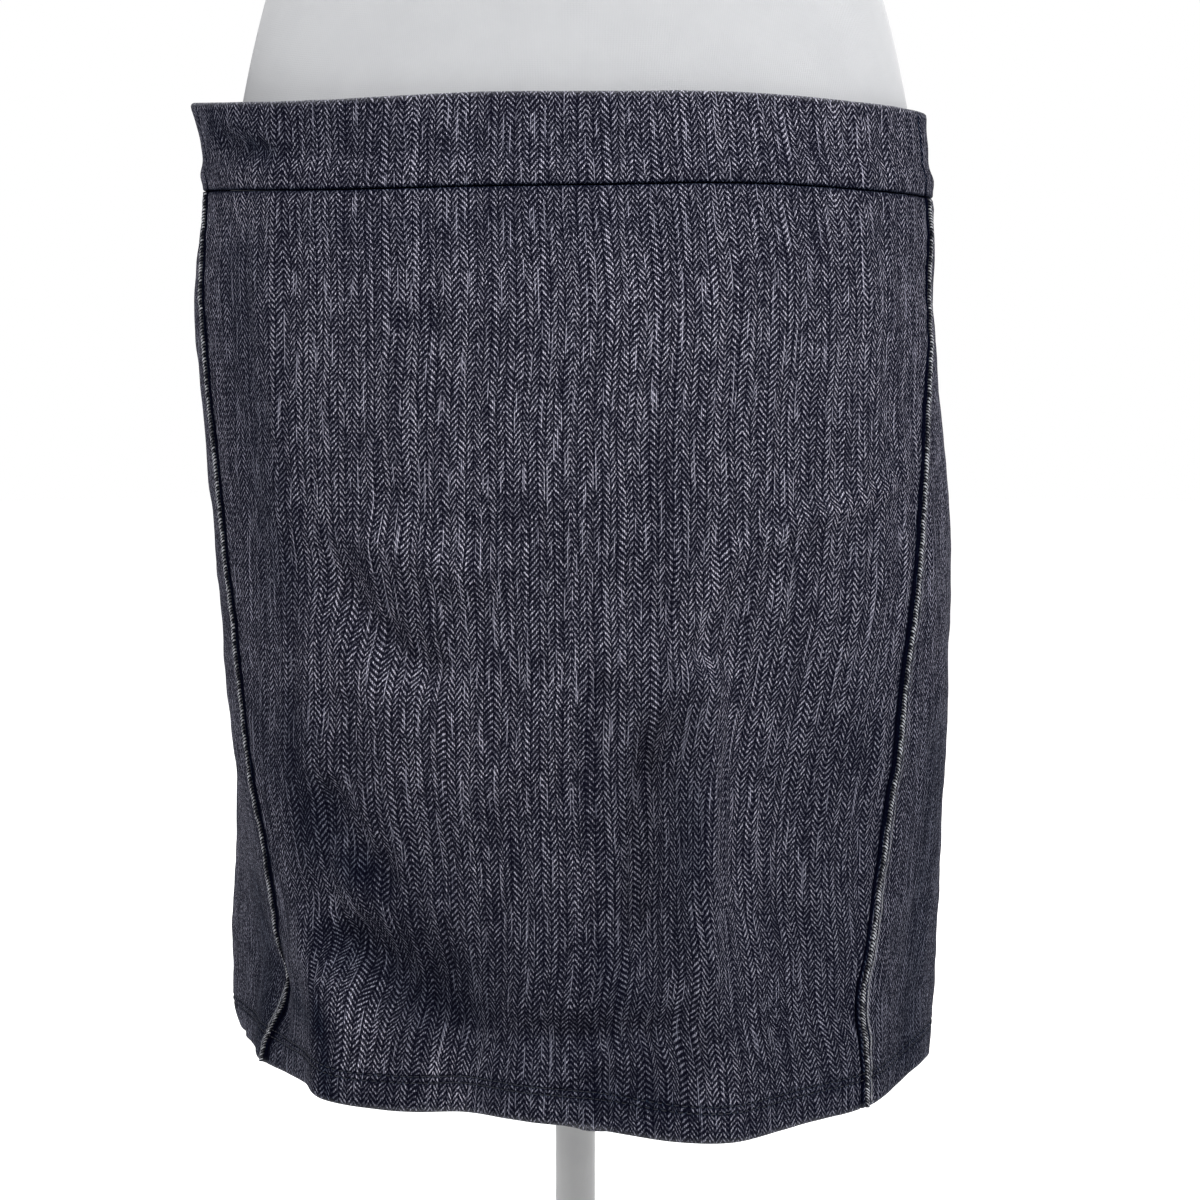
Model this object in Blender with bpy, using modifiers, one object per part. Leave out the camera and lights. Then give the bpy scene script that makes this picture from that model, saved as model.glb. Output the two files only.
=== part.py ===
"""Short denim skirt worn by a limbless dress form on a counter stand.

Metres, +Z up.  The front faces -Y, +X is the viewer's right, and the origin is the
centre of the stand's underside.  Every cloth piece is cut from one skin round the
body: its reach at each height comes from SKIRT_SECTIONS, and the rows of CREASES
push it in or out.  An angle round the body is in degrees: 0 at the centre front,
+90 at +X and 180 at the centre back.
"""
from collections import namedtuple

import bmesh
import bpy
import numpy as np

# Driving dimensions of the skirt.
HEM_HEIGHT = 0.1465
BAND_SEAM_HEIGHT = 0.5813
BAND_SEAM_TILT = 0.0025
BAND_TOP_HEIGHT = 0.6248
BAND_TOP_TILT = 0.0040
CLOTH = 0.0015
BAND_CLOTH = 0.0026
GAP = 0.0003
WELT_WIDTH = 0.0035
WELT_THICKNESS = 0.0013
TURNUP_DEPTH = 0.020
TURNUP_CLOTH = 0.0011
UNROLL_RADIUS = 0.155

# Driving dimensions of the form's fittings and its stand.
NECK_RADIUS = 0.0545
NECK_CAP_HEIGHT = 0.012
NECK_CAP_ROUND = 0.004
POLE_RADIUS = 0.010
SOCKET_RADIUS = 0.024
SOCKET_HEIGHT = 0.030
SOCKET_TAPER = 0.003
SOCKET_FLANGE_RADIUS = 0.036
SOCKET_FLANGE_THICKNESS = 0.004
SOCKET_SHOULDER = 0.003
COLLAR_RADIUS = 0.021
COLLAR_HEIGHT = 0.034
COLLAR_WALL = 0.006
COLLAR_TOP_ROUND = 0.002
COLLAR_FLANGE_THICKNESS = 0.003
COLLAR_SHOULDER = 0.005
BASE_RADIUS = 0.165
BASE_THICKNESS = 0.014
BASE_EDGE_ROUND = 0.006
BASE_FOOT_CHAMFER = 0.002

# Facets of each piece.
PANEL_ROWS = 20
FRONT_COLUMNS = 34
BACK_COLUMNS = 40
BAND_ROWS = 3
BAND_FRONT_COLUMNS = 26
BAND_BACK_COLUMNS = 30
FORM_SIDES = 36
FORM_RINGS = 30
ROUND_SIDES = 32
EDGE_ROUND_POINTS = 4
SHARP_EDGE_ANGLE = 40
TOUCHING = 0.0001

Section = namedtuple("Section", "height left right front back squareness")
SKIRT_SECTIONS = [
    Section(0.150, 0.1790, 0.1795, 0.138, 0.129, 2.35),
    Section(0.225, 0.1750, 0.1833, 0.134, 0.130, 2.35),
    Section(0.285, 0.1740, 0.1852, 0.132, 0.131, 2.30),
    Section(0.345, 0.1745, 0.1865, 0.132, 0.133, 2.25),
    Section(0.405, 0.1790, 0.1875, 0.134, 0.139, 2.20),
    Section(0.465, 0.1835, 0.1830, 0.134, 0.143, 2.20),
    Section(0.525, 0.1880, 0.1780, 0.129, 0.139, 2.20),
    Section(0.585, 0.1838, 0.1771, 0.118, 0.125, 2.20),
    Section(0.606, 0.1851, 0.1746, 0.114, 0.121, 2.20),
    Section(0.631, 0.1910, 0.1729, 0.110, 0.117, 2.20),
]
FORM_SECTIONS = [
    Section(0.3950, 0.1560, 0.1560, 0.108, 0.114, 2.2),
    Section(0.4000, 0.1660, 0.1660, 0.117, 0.123, 2.2),
    Section(0.4200, 0.1715, 0.1715, 0.122, 0.129, 2.2),
    Section(0.4650, 0.1755, 0.1755, 0.125, 0.134, 2.2),
    Section(0.5250, 0.1750, 0.1750, 0.120, 0.131, 2.2),
    Section(0.5850, 0.1700, 0.1700, 0.110, 0.117, 2.2),
    Section(0.6300, 0.1632, 0.1632, 0.103, 0.108, 2.2),
    Section(0.6800, 0.1512, 0.1512, 0.096, 0.096, 2.2),
    Section(0.7450, 0.1275, 0.1275, 0.090, 0.082, 2.2),
    Section(0.8100, 0.1320, 0.1320, 0.099, 0.088, 2.2),
    Section(0.8900, 0.1500, 0.1500, 0.128, 0.101, 2.3),
    Section(0.9300, 0.1550, 0.1550, 0.127, 0.106, 2.3),
    Section(0.9900, 0.1625, 0.1625, 0.104, 0.106, 2.4),
    Section(1.0400, 0.1700, 0.1700, 0.084, 0.098, 2.4),
    Section(1.0720, 0.1680, 0.1680, 0.072, 0.088, 2.3),
    Section(1.0950, 0.1480, 0.1480, 0.064, 0.079, 2.2),
    Section(1.1120, 0.1060, 0.1060, 0.059, 0.071, 2.1),
    Section(1.1270, 0.0700, 0.0700, 0.056, 0.063, 2.0),
    Section(1.1550, 0.0565, 0.0565, 0.0545, 0.0565, 2.0),
    Section(1.2000, 0.0545, 0.0545, 0.0545, 0.0545, 2.0),
]

SeamRow = namedtuple("SeamRow", "height left right")
SIDE_SEAMS = [
    SeamRow(0.145, -79.5, 54.6),
    SeamRow(0.172, -77.0, 54.0),
    SeamRow(0.196, -74.0, 52.8),
    SeamRow(0.225, -70.0, 55.4),
    SeamRow(0.260, -68.0, 57.6),
    SeamRow(0.300, -69.8, 60.2),
    SeamRow(0.350, -70.6, 62.9),
    SeamRow(0.400, -72.4, 65.8),
    SeamRow(0.465, -75.0, 70.2),
    SeamRow(0.525, -76.6, 76.6),
    SeamRow(0.585, -80.4, 77.4),
    SeamRow(0.632, -81.5, 77.5),
]

# The hem rises or dips where a fold carries it out.
HemWave = namedtuple("HemWave", "angle spread rise")
HEM_WAVES = [
    HemWave(27.0, 26.0, -0.0065),
    HemWave(80.0, 20.0, 0.0070),
    HemWave(-56.0, 14.0, 0.0040),
    HemWave(-88.0, 22.0, 0.0065),
    HemWave(-108.0, 12.0, 0.0090),
]

# A crease runs from start, pulled towards bend, to end; each is (angle, height).  It
# grows in over the first share of its length, fade_in, and dies away over the last.
Crease = namedtuple("Crease", "name start bend end width push fade_in fade_out")
CREASES = [
    Crease("left_side_trough", (-76, 0.36), (-77, 0.20), (-74, 0.08), 0.074, -0.0300, 0.75, 0.05),
    Crease("left_seam_dimple", (-75, 0.225), (-75, 0.190), (-75, 0.160), 0.018, -0.0060, 0.45, 0.45),
    Crease("left_hem_kick", (-82, 0.205), (-82, 0.150), (-83, 0.090), 0.026, 0.0090, 0.50, 0.10),
    Crease("left_back_corner", (-112, 0.39), (-118, 0.22), (-118, 0.08), 0.042, 0.0275, 0.62, 0.05),
    Crease("left_front_trough", (-30, 0.37), (-33, 0.24), (-31, 0.08), 0.046, -0.0255, 0.75, 0.05),
    Crease("left_front_corner", (-55, 0.27), (-52, 0.20), (-50, 0.08), 0.017, 0.0080, 0.45, 0.05),
    Crease("smile_trough", (-62, 0.268), (-46, 0.205), (-6, 0.196), 0.014, -0.0055, 0.30, 0.35),
    Crease("right_front_ridge", (20, 0.42), (22, 0.26), (23, 0.08), 0.036, 0.0210, 0.75, 0.05),
    Crease("beside_ridge_trough", (7, 0.38), (9, 0.26), (6, 0.16), 0.020, -0.0050, 0.35, 0.40),
    Crease("right_side_trough", (70, 0.34), (71, 0.22), (69, 0.08), 0.030, -0.0090, 0.60, 0.05),
    Crease("back_left_trough", (-150, 0.38), (-152, 0.26), (-150, 0.08), 0.034, -0.0110, 0.60, 0.05),
    Crease("back_right_ridge", (166, 0.36), (164, 0.24), (165, 0.08), 0.034, 0.0080, 0.60, 0.05),
    Crease("back_right_trough", (138, 0.36), (137, 0.26), (139, 0.08), 0.030, -0.0100, 0.60, 0.05),
    Crease("under_seat_crease", (-128, 0.385), (180, 0.352), (132, 0.372), 0.020, -0.0045, 0.35, 0.35),
]
CREASE_SAMPLES = 25
SETTLING_TURNS = 4

DENIM = ("skirt_denim", (0.055, 0.058, 0.078), 0.86, 0.0)
JERSEY = ("form_jersey", (0.72, 0.73, 0.75), 0.90, 0.0)
PLASTIC = ("form_plastic", (0.78, 0.78, 0.78), 0.55, 0.0)
PAINT = ("stand_paint", (0.84, 0.84, 0.84), 0.38, 0.0)


def smooth_column(rows, column, height):
    """Smooth curve through one column of a table at the given heights.

    Between two rows it is the cubic that keeps both values and both slopes, with
    each row's slope taken from its neighbours.
    """
    levels = np.array([row.height for row in rows])
    values = np.array([getattr(row, column) for row in rows])
    slopes = np.gradient(values, levels)
    height = np.clip(height, levels[0], levels[-1])
    low = np.clip(np.searchsorted(levels, height) - 1, 0, len(levels) - 2)
    span = levels[low + 1] - levels[low]
    t = (height - levels[low]) / span
    start = (1 + 2 * t) * (1 - t) ** 2 * values[low] + t * (1 - t) ** 2 * span * slopes[low]
    end = t * t * (3 - 2 * t) * values[low + 1] + t * t * (t - 1) * span * slopes[low + 1]
    return start + end


def ring_radius(rows, angle, height):
    """Distance from the axis to a superellipse ring whose four reaches vary with height."""
    sine = np.sin(np.radians(angle))
    cosine = np.cos(np.radians(angle))
    side = np.where(sine < 0, smooth_column(rows, "left", height), smooth_column(rows, "right", height))
    depth = np.where(cosine > 0, smooth_column(rows, "front", height), smooth_column(rows, "back", height))
    power = smooth_column(rows, "squareness", height)
    return ((np.abs(sine) / side) ** power + (np.abs(cosine) / depth) ** power) ** (-1 / power)


def crease_push(crease, angle, height):
    """Radial push of one crease: full along its bent path, fading across it and at its ends."""
    t = np.linspace(0, 1, CREASE_SAMPLES)[:, None]
    bend_turn = turn_to(crease.start[0], crease.bend[0])
    end_turn = turn_to(crease.start[0], crease.end[0])
    stops = np.array([(0, crease.start[1]), (bend_turn, crease.bend[1]), (end_turn, crease.end[1])])
    path = (1 - t) ** 2 * stops[0] + 2 * t * (1 - t) * stops[1] + t ** 2 * stops[2]
    turn = turn_to(crease.start[0], angle)
    across = np.radians(turn[..., None] - path[:, 0]) * UNROLL_RADIUS
    along = height[..., None] - path[:, 1]
    distance = across ** 2 + along ** 2
    nearest = np.argmin(distance, axis=-1)
    place = t[nearest, 0]
    fade = smooth_step(place / crease.fade_in) * smooth_step((1 - place) / crease.fade_out)
    return crease.push * fade * np.exp(-np.min(distance, axis=-1) / crease.width ** 2)


def smooth_step(share):
    """Share of a rise from 0 to 1 that starts and ends level."""
    share = np.clip(share, 0, 1)
    return share * share * (3 - 2 * share)


def turn_to(start, angle):
    """Shortest turn in degrees from one angle to another."""
    return (np.asarray(angle, dtype=float) - start + 180) % 360 - 180


def skin(angle, height):
    """Points of the cloth's outer face at the given angles and heights."""
    radius = ring_radius(SKIRT_SECTIONS, angle, height)
    for crease in CREASES:
        radius = radius + crease_push(crease, angle, height)
    radians = np.radians(angle)
    return np.stack([radius * np.sin(radians), -radius * np.cos(radians), height], axis=-1)


def hem_edge(angle):
    """Height of the hem's fold, with its waves."""
    rises = [wave.rise * np.exp(-(turn_to(wave.angle, angle) / wave.spread) ** 2) for wave in HEM_WAVES]
    return HEM_HEIGHT + sum(rises)


def band_seam(angle):
    """Height of the seam between the panels and the waistband."""
    return BAND_SEAM_HEIGHT - BAND_SEAM_TILT * np.sin(np.radians(angle))


def band_top(angle):
    """Height of the waistband's folded top edge."""
    return BAND_TOP_HEIGHT - BAND_TOP_TILT * np.sin(np.radians(angle))


def seam_angle(side, height):
    """Angle of the left or right side seam at a height."""
    return smooth_column(SIDE_SEAMS, side, height)


def front_span(height, clearance):
    """First and last angle of the front's arc, short of both seams by the clearance."""
    step = np.degrees(clearance / UNROLL_RADIUS)
    return seam_angle("left", height) + step, seam_angle("right", height) - step


def back_span(height, clearance):
    """First and last angle of the back's arc, from the right seam round to the left one."""
    step = np.degrees(clearance / UNROLL_RADIUS)
    return seam_angle("right", height) + step, seam_angle("left", height) + 360 - step


def welt_span(side):
    """Arc of a welt: it lies on the back panel's edge, just behind its seam."""
    def span(height, clearance):
        near = np.degrees(clearance / UNROLL_RADIUS)
        far = np.degrees((clearance + WELT_WIDTH) / UNROLL_RADIUS)
        seam = seam_angle(side, height)
        if side == "right":
            return seam + near, seam + far
        return seam - far, seam - near
    return span


def material(name, colour, roughness, metallic):
    """Principled material of one finish."""
    made = bpy.data.materials.get(name)
    if made is None:
        made = bpy.data.materials.new(name)
        made.use_nodes = True
        shader = made.node_tree.nodes["Principled BSDF"]
        shader.inputs["Base Color"].default_value = (*colour, 1.0)
        shader.inputs["Roughness"].default_value = roughness
        shader.inputs["Metallic"].default_value = metallic
    return made


def add_object(name, mesh, finish, collection):
    """Object of a mesh, with its finish, in the skirt's collection."""
    piece = bpy.data.objects.new(name, mesh)
    piece.data.materials.append(material(*finish))
    collection.objects.link(piece)
    return piece


def mesh_from(bm, name):
    """Mesh datablock of a bmesh, which is freed, shaded smooth up to a sharp angle."""
    mesh = bpy.data.meshes.new(name)
    bm.to_mesh(mesh)
    bm.free()
    mesh.shade_smooth()
    mesh.set_sharp_from_angle(angle=np.radians(SHARP_EDGE_ANGLE))
    return mesh


def line_places(lines, count, start, end, strips):
    """Places of grid lines between start and end, with narrow strips of the given widths there.

    Line 0 is at start and line count at end.  Line 1 is one strip in from the start,
    the last but one is one strip short of the end, and the others share the rest evenly.
    """
    near, far = strips
    if count == 1:
        return start + lines * (end - start)
    inner_start = start + near if near else start + (end - start) / count
    inner_end = end - far if far else end - (end - start) / count
    place = inner_start + (lines - 1) / (count - 2) * (inner_end - inner_start)
    return np.where(lines == 0, start, np.where(lines == count, end, place))


def cloth_piece(name, span, edges, facets, faces_at, collection):
    """Cloth wall over a patch of the skin.

    A grid is stretched over the patch: across it runs between the two angles that
    span gives at each height, and up it runs between the two edge curves.  A column
    as wide as a welt ends each row, so that all pieces meet alike at the side seams,
    and the lowest row of a panel is as tall as the turned-up hem.  Solidify then
    gives the wall its outer and inner face, at the distances from the skin in faces_at.
    """
    low_edge, high_edge = edges
    columns, rows = facets
    bm = bmesh.new()
    bmesh.ops.create_grid(bm, x_segments=columns, y_segments=rows, size=1.0)
    column = np.array([round((vertex.co.x + 1) / 2 * columns) for vertex in bm.verts])
    row = np.array([round((vertex.co.y + 1) / 2 * rows) for vertex in bm.verts])
    end_column = np.degrees(WELT_WIDTH / UNROLL_RADIUS)
    height = np.full(len(row), HEM_HEIGHT)
    for _ in range(SETTLING_TURNS):
        first, last = span(height, GAP / 2)
        angle = line_places(column, columns, first, last, (end_column, end_column))
        low, high = low_edge(angle), high_edge(angle)
        low_row = TURNUP_DEPTH if rows == PANEL_ROWS else 0.0
        height = line_places(row, rows, low, high, (low_row, 0.0))
    for vertex, point in zip(bm.verts, skin(angle, height)):
        vertex.co = point
    bmesh.ops.recalc_face_normals(bm, faces=bm.faces)
    middle_face = bm.faces[:][len(bm.faces) // 2]
    outward = middle_face.calc_center_median()
    if middle_face.normal.dot((outward.x, outward.y, 0.0)) < 0:
        bmesh.ops.reverse_faces(bm, faces=bm.faces)
    outer, inner = faces_at
    piece = add_object(name, mesh_from(bm, name), DENIM, collection)
    wall = piece.modifiers.new("Wall", "SOLIDIFY")
    wall.thickness = outer - inner
    wall.offset = 2 * outer / (outer - inner) - 1
    return piece


def make_skirt(collection):
    """Panels, waistband, welts and turned-up hem of the skirt."""
    def under_seam(angle):
        return band_seam(angle) - GAP / 2

    def over_seam(angle):
        return band_seam(angle) + GAP / 2

    def turnup_top(angle):
        return hem_edge(angle) + TURNUP_DEPTH

    panel = (hem_edge, under_seam)
    band = (over_seam, band_top)
    turnup = (hem_edge, turnup_top)
    panel_faces = (0.0, -CLOTH)
    band_faces = (0.0, -BAND_CLOTH)
    turnup_faces = (-CLOTH - GAP, -CLOTH - GAP - TURNUP_CLOTH)
    welt_faces = (GAP + WELT_THICKNESS, GAP)
    for part, span, columns, band_columns in (
        ("front", front_span, FRONT_COLUMNS, BAND_FRONT_COLUMNS),
        ("back", back_span, BACK_COLUMNS, BAND_BACK_COLUMNS),
    ):
        cloth_piece(f"{part}_panel", span, panel, (columns, PANEL_ROWS), panel_faces, collection)
        cloth_piece(f"hem_turnup_{part}", span, turnup, (columns, 1), turnup_faces, collection)
        cloth_piece(f"waistband_{part}", span, band, (band_columns, BAND_ROWS), band_faces, collection)
    for side in ("left", "right"):
        cloth_piece(f"side_welt_{side}", welt_span(side), panel, (1, PANEL_ROWS), welt_faces, collection)


def make_torso(collection):
    """Form's body: a sphere whose rings are drawn out to the form's sections."""
    bm = bmesh.new()
    bmesh.ops.create_uvsphere(bm, u_segments=FORM_SIDES, v_segments=FORM_RINGS, radius=1.0)
    levels = np.array([row.height for row in FORM_SECTIONS])
    steps = np.arange(len(levels))
    for vertex in bm.verts:
        pole_distance = np.degrees(np.arccos(np.clip(vertex.co.z, -1, 1)))
        ring = pole_distance * FORM_RINGS / 180
        share = np.clip((FORM_RINGS - 1 - ring) / (FORM_RINGS - 2), 0, 1)
        height = np.interp(share * steps[-1], steps, levels)
        on_axis = np.hypot(vertex.co.x, vertex.co.y) < TOUCHING
        angle = np.degrees(np.arctan2(vertex.co.x, -vertex.co.y))
        radius = 0.0 if on_axis else float(ring_radius(FORM_SECTIONS, angle, height))
        radians = np.radians(angle)
        vertex.co = (radius * np.sin(radians), -radius * np.cos(radians), height)
    bmesh.ops.recalc_face_normals(bm, faces=bm.faces)
    add_object("form_torso", mesh_from(bm, "form_torso"), JERSEY, collection)


def make_turned(name, profile, finish, collection):
    """Turned piece: a closed profile of (radius, height) points swept round the axis."""
    bm = bmesh.new()
    verts = [bm.verts.new((radius, 0.0, height)) for radius, height in profile]
    for first, second in zip(verts, verts[1:]):
        bm.edges.new((first, second))
    if profile[0][0] > 0:
        bm.edges.new((verts[-1], verts[0]))
    piece = add_object(name, mesh_from(bm, name), finish, collection)
    turn = piece.modifiers.new("Turn", "SCREW")
    turn.steps = ROUND_SIDES
    turn.render_steps = ROUND_SIDES
    turn.use_merge_vertices = True
    turn.merge_threshold = TOUCHING
    turn.use_smooth_shade = True
    return piece


def make_fittings(collection):
    """Neck cap, socket, pole, collar and base."""
    neck_top = FORM_SECTIONS[-1].height
    form_bottom = FORM_SECTIONS[0].height
    cap_low = neck_top + GAP
    cap_top = cap_low + NECK_CAP_HEIGHT
    make_turned("form_neck_cap", [
        (0.0, cap_top),
        (NECK_RADIUS - NECK_CAP_ROUND, cap_top),
        (NECK_RADIUS, cap_top - NECK_CAP_ROUND),
        (NECK_RADIUS, cap_low),
        (0.0, cap_low),
    ], PLASTIC, collection)

    socket_top = form_bottom - GAP
    flange_low = socket_top - SOCKET_FLANGE_THICKNESS
    bore = POLE_RADIUS + GAP
    make_turned("form_socket", [
        (bore, socket_top),
        (SOCKET_FLANGE_RADIUS, socket_top),
        (SOCKET_FLANGE_RADIUS, flange_low),
        (SOCKET_RADIUS, flange_low - SOCKET_SHOULDER),
        (SOCKET_RADIUS - SOCKET_TAPER, socket_top - SOCKET_HEIGHT),
        (bore, socket_top - SOCKET_HEIGHT),
    ], PLASTIC, collection)

    pole_low = BASE_THICKNESS + GAP
    make_turned("stand_pole", [
        (0.0, socket_top),
        (POLE_RADIUS, socket_top),
        (POLE_RADIUS, pole_low),
        (0.0, pole_low),
    ], PAINT, collection)

    collar_top = pole_low + COLLAR_HEIGHT
    collar_flange_top = pole_low + COLLAR_FLANGE_THICKNESS
    neck = bore + COLLAR_WALL
    make_turned("stand_collar", [
        (bore, collar_top),
        (neck - COLLAR_TOP_ROUND, collar_top),
        (neck, collar_top - COLLAR_TOP_ROUND),
        (neck, collar_flange_top + COLLAR_SHOULDER),
        (COLLAR_RADIUS, collar_flange_top),
        (COLLAR_RADIUS, pole_low),
        (bore, pole_low),
    ], PAINT, collection)

    edge_turn = np.radians(np.linspace(0, 90, EDGE_ROUND_POINTS))
    rim = [(BASE_RADIUS - BASE_EDGE_ROUND * (1 - np.sin(a)), BASE_THICKNESS - BASE_EDGE_ROUND * (1 - np.cos(a)))
           for a in edge_turn]
    make_turned("stand_base", [
        (0.0, BASE_THICKNESS),
        *rim,
        (BASE_RADIUS, BASE_FOOT_CHAMFER),
        (BASE_RADIUS - BASE_FOOT_CHAMFER, 0.0),
        (0.0, 0.0),
    ], PAINT, collection)


def main():
    """Clear the scene and model the skirt, its form and its stand."""
    for old in list(bpy.data.objects):
        bpy.data.objects.remove(old, do_unlink=True)
    collection = bpy.data.collections.new("skirt_on_dress_form")
    bpy.context.scene.collection.children.link(collection)
    make_skirt(collection)
    make_torso(collection)
    make_fittings(collection)


main()
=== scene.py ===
"""Short denim skirt on a limbless dress form: fine meshes, finishes and a plain studio.

Metres, +Z up.  The front faces -Y, +X is the viewer's right, and the origin is the
centre of the stand's underside.  An angle round the body is in degrees: 0 at the
centre front, +90 at +X and 180 at the centre back.  Every cloth piece is laid over
one skin, whose reach at each height comes from a table of rings and whose creases
push it in or out.
"""

import logging
from dataclasses import dataclass
from enum import Enum
from typing import Callable, NamedTuple, Optional, Union

import bpy
import numpy as np
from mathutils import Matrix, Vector


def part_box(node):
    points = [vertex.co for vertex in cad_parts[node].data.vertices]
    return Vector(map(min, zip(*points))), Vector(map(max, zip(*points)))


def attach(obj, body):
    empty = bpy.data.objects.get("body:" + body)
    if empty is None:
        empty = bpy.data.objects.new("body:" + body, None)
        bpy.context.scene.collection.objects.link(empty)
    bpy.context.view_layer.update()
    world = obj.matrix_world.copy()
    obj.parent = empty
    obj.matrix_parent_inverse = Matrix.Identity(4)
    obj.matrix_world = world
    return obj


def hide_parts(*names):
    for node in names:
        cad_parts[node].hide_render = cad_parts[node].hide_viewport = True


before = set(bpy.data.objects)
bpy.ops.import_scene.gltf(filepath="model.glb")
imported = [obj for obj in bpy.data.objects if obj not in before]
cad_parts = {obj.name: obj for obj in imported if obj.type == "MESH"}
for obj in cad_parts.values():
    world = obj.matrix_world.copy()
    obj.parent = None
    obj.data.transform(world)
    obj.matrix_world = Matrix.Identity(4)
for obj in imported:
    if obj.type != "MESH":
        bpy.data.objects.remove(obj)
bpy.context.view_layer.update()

LOG = logging.getLogger("skirt")
BODY = "root"
UNROLL_RADIUS = 0.155
CLOTH_MAP = "Cloth"
MID_HEIGHT = 0.35
SETTLING_TURNS = 4

Array = np.ndarray
Socket = bpy.types.NodeSocket
Value = Union[Socket, float]
Colour = tuple[float, float, float]
Curve = Callable[[Array], Array]
Ramp = tuple[float, float, float, float]


class Side(Enum):
    """Side of the skirt, as the viewer sees it."""
    LEFT = "left"
    RIGHT = "right"


class Half(Enum):
    """Front or back half of the skirt."""
    FRONT = "front"
    BACK = "back"


# ---------------------------------------------------------------- surfaces

def smooth_step(share: Array) -> Array:
    """Rise from 0 to 1 that starts and ends level: 3 s^2 - 2 s^3.

    Args:
        share: Place in the rise; below 0 and above 1 count as 0 and 1.

    Returns:
        Height of the rise.
    """
    share = np.clip(share, 0, 1)
    return share * share * (3 - 2 * share)


def turn_to(start: float, angle: Array) -> Array:
    """Shortest turn from one angle to others, from -180 to 180 degrees.

    Args:
        start: Angle turned from.
        angle: Angles turned to.

    Returns:
        Turns in degrees.
    """
    return (np.asarray(angle, dtype=float) - start + 180) % 360 - 180


def unroll(length: Array) -> Array:
    """Degrees round the body that a length across the cloth takes."""
    return np.degrees(np.asarray(length, dtype=float) / UNROLL_RADIUS)


def table_curve(levels: Array, values: Array, height: Array) -> Array:
    """Smooth curve through a column of a table.

    Between two rows it is the cubic that keeps both values and both slopes, with
    each row's slope taken from its neighbours.

    Args:
        levels: Height of each row, rising.
        values: Value in each row.
        height: Heights asked for, held to the table's ends.

    Returns:
        Values at those heights.
    """
    slopes = np.gradient(values, levels)
    height = np.clip(height, levels[0], levels[-1])
    low = np.clip(np.searchsorted(levels, height) - 1, 0, len(levels) - 2)
    span = levels[low + 1] - levels[low]
    t = (height - levels[low]) / span
    start = (1 + 2 * t) * (1 - t) ** 2 * values[low] + t * (1 - t) ** 2 * span * slopes[low]
    end = t * t * (3 - 2 * t) * values[low + 1] + t * t * (t - 1) * span * slopes[low + 1]
    return start + end


@dataclass(frozen=True)
class Bump:
    """Soft bump along a line: size exp(-((x - place) / width)^2)."""
    size: float
    place: float
    width: float

    def at(self, x: Array) -> Array:
        """Height of the bump at some places."""
        return self.size * np.exp(-((x - self.place) / self.width) ** 2)


class Section(NamedTuple):
    """Ring of a body: its reach to the left, right, front and back, and how square it is."""
    height: float
    left: float
    right: float
    front: float
    back: float
    squareness: float


@dataclass(frozen=True)
class Rings:
    """Body whose rings are superellipses, with reaches that vary smoothly with height."""
    rows: tuple[Section, ...]

    def column(self, name: str, height: Array) -> Array:
        """Value of one column of the table at some heights."""
        levels = np.array([row.height for row in self.rows])
        return table_curve(levels, np.array([getattr(row, name) for row in self.rows]), height)

    def radius(self, angle: Array, height: Array) -> Array:
        """Distance from the axis to the ring.

        It is (|sin|/side)^n + (|cos|/depth)^n, to the power -1/n, where side and depth
        are the reaches on that side of the ring and n is its squareness.

        Args:
            angle: Angles round the body.
            height: Heights, of the same shape.

        Returns:
            Distances from the axis.
        """
        sine, cosine = np.sin(np.radians(angle)), np.cos(np.radians(angle))
        side = np.where(sine < 0, self.column("left", height), self.column("right", height))
        depth = np.where(cosine > 0, self.column("front", height), self.column("back", height))
        power = self.column("squareness", height)
        return ((np.abs(sine) / side) ** power + (np.abs(cosine) / depth) ** power) ** (-1 / power)


@dataclass(frozen=True)
class Crease:
    """Soft fold along a path, which pushes the cloth in or out.

    The path is a quadratic curve from start, pulled towards bend, to end, and each of
    these is (angle, height).  The push falls off across the path as exp(-(d/width)^2).
    It grows in over the first share of the path, fade_in, and dies away over the last,
    fade_out.  It is worked out for a number of straight pieces of the path, and within
    a window of so many widths round it.
    """
    name: str
    start: tuple[float, float]
    bend: tuple[float, float]
    end: tuple[float, float]
    width: float
    push: float
    fade_in: float
    fade_out: float
    pieces: int = 24
    window: float = 3.0

    def push_at(self, angle: Array, height: Array) -> Array:
        """Radial push at some places, worked out only near the path.

        Args:
            angle: Angles round the body.
            height: Heights, of the same shape.

        Returns:
            Pushes in metres, of the same shape.
        """
        pieces, window = self.pieces, self.window * self.width
        t = np.linspace(0, 1, pieces + 1)
        stops = np.array([
            (0.0, self.start[1]),
            (np.radians(turn_to(self.start[0], self.bend[0])) * UNROLL_RADIUS, self.bend[1]),
            (np.radians(turn_to(self.start[0], self.end[0])) * UNROLL_RADIUS, self.end[1]),
        ])
        path = np.stack([(1 - t) ** 2, 2 * t * (1 - t), t ** 2], axis=-1) @ stops
        across = np.radians(turn_to(self.start[0], angle)) * UNROLL_RADIUS
        low, high = path.min(axis=0) - window, path.max(axis=0) + window
        near = (across > low[0]) & (across < high[0]) & (height > low[1]) & (height < high[1])
        place = np.stack([across[near], height[near]], axis=-1)[:, None, :]
        run = path[1:] - path[:-1]
        along = np.clip(np.sum((place - path[:-1]) * run, axis=-1) / np.sum(run * run, axis=-1), 0, 1)
        distance = np.sum((place - path[:-1] - along[..., None] * run) ** 2, axis=-1)
        nearest = np.argmin(distance, axis=-1)
        share = (nearest + np.take_along_axis(along, nearest[:, None], axis=-1)[:, 0]) / pieces
        fade = smooth_step(share / self.fade_in) * smooth_step((1 - share) / self.fade_out)
        pushes = np.zeros(np.shape(angle))
        pushes[near] = self.push * fade * np.exp(-np.min(distance, axis=-1) / self.width ** 2)
        return pushes


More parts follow.
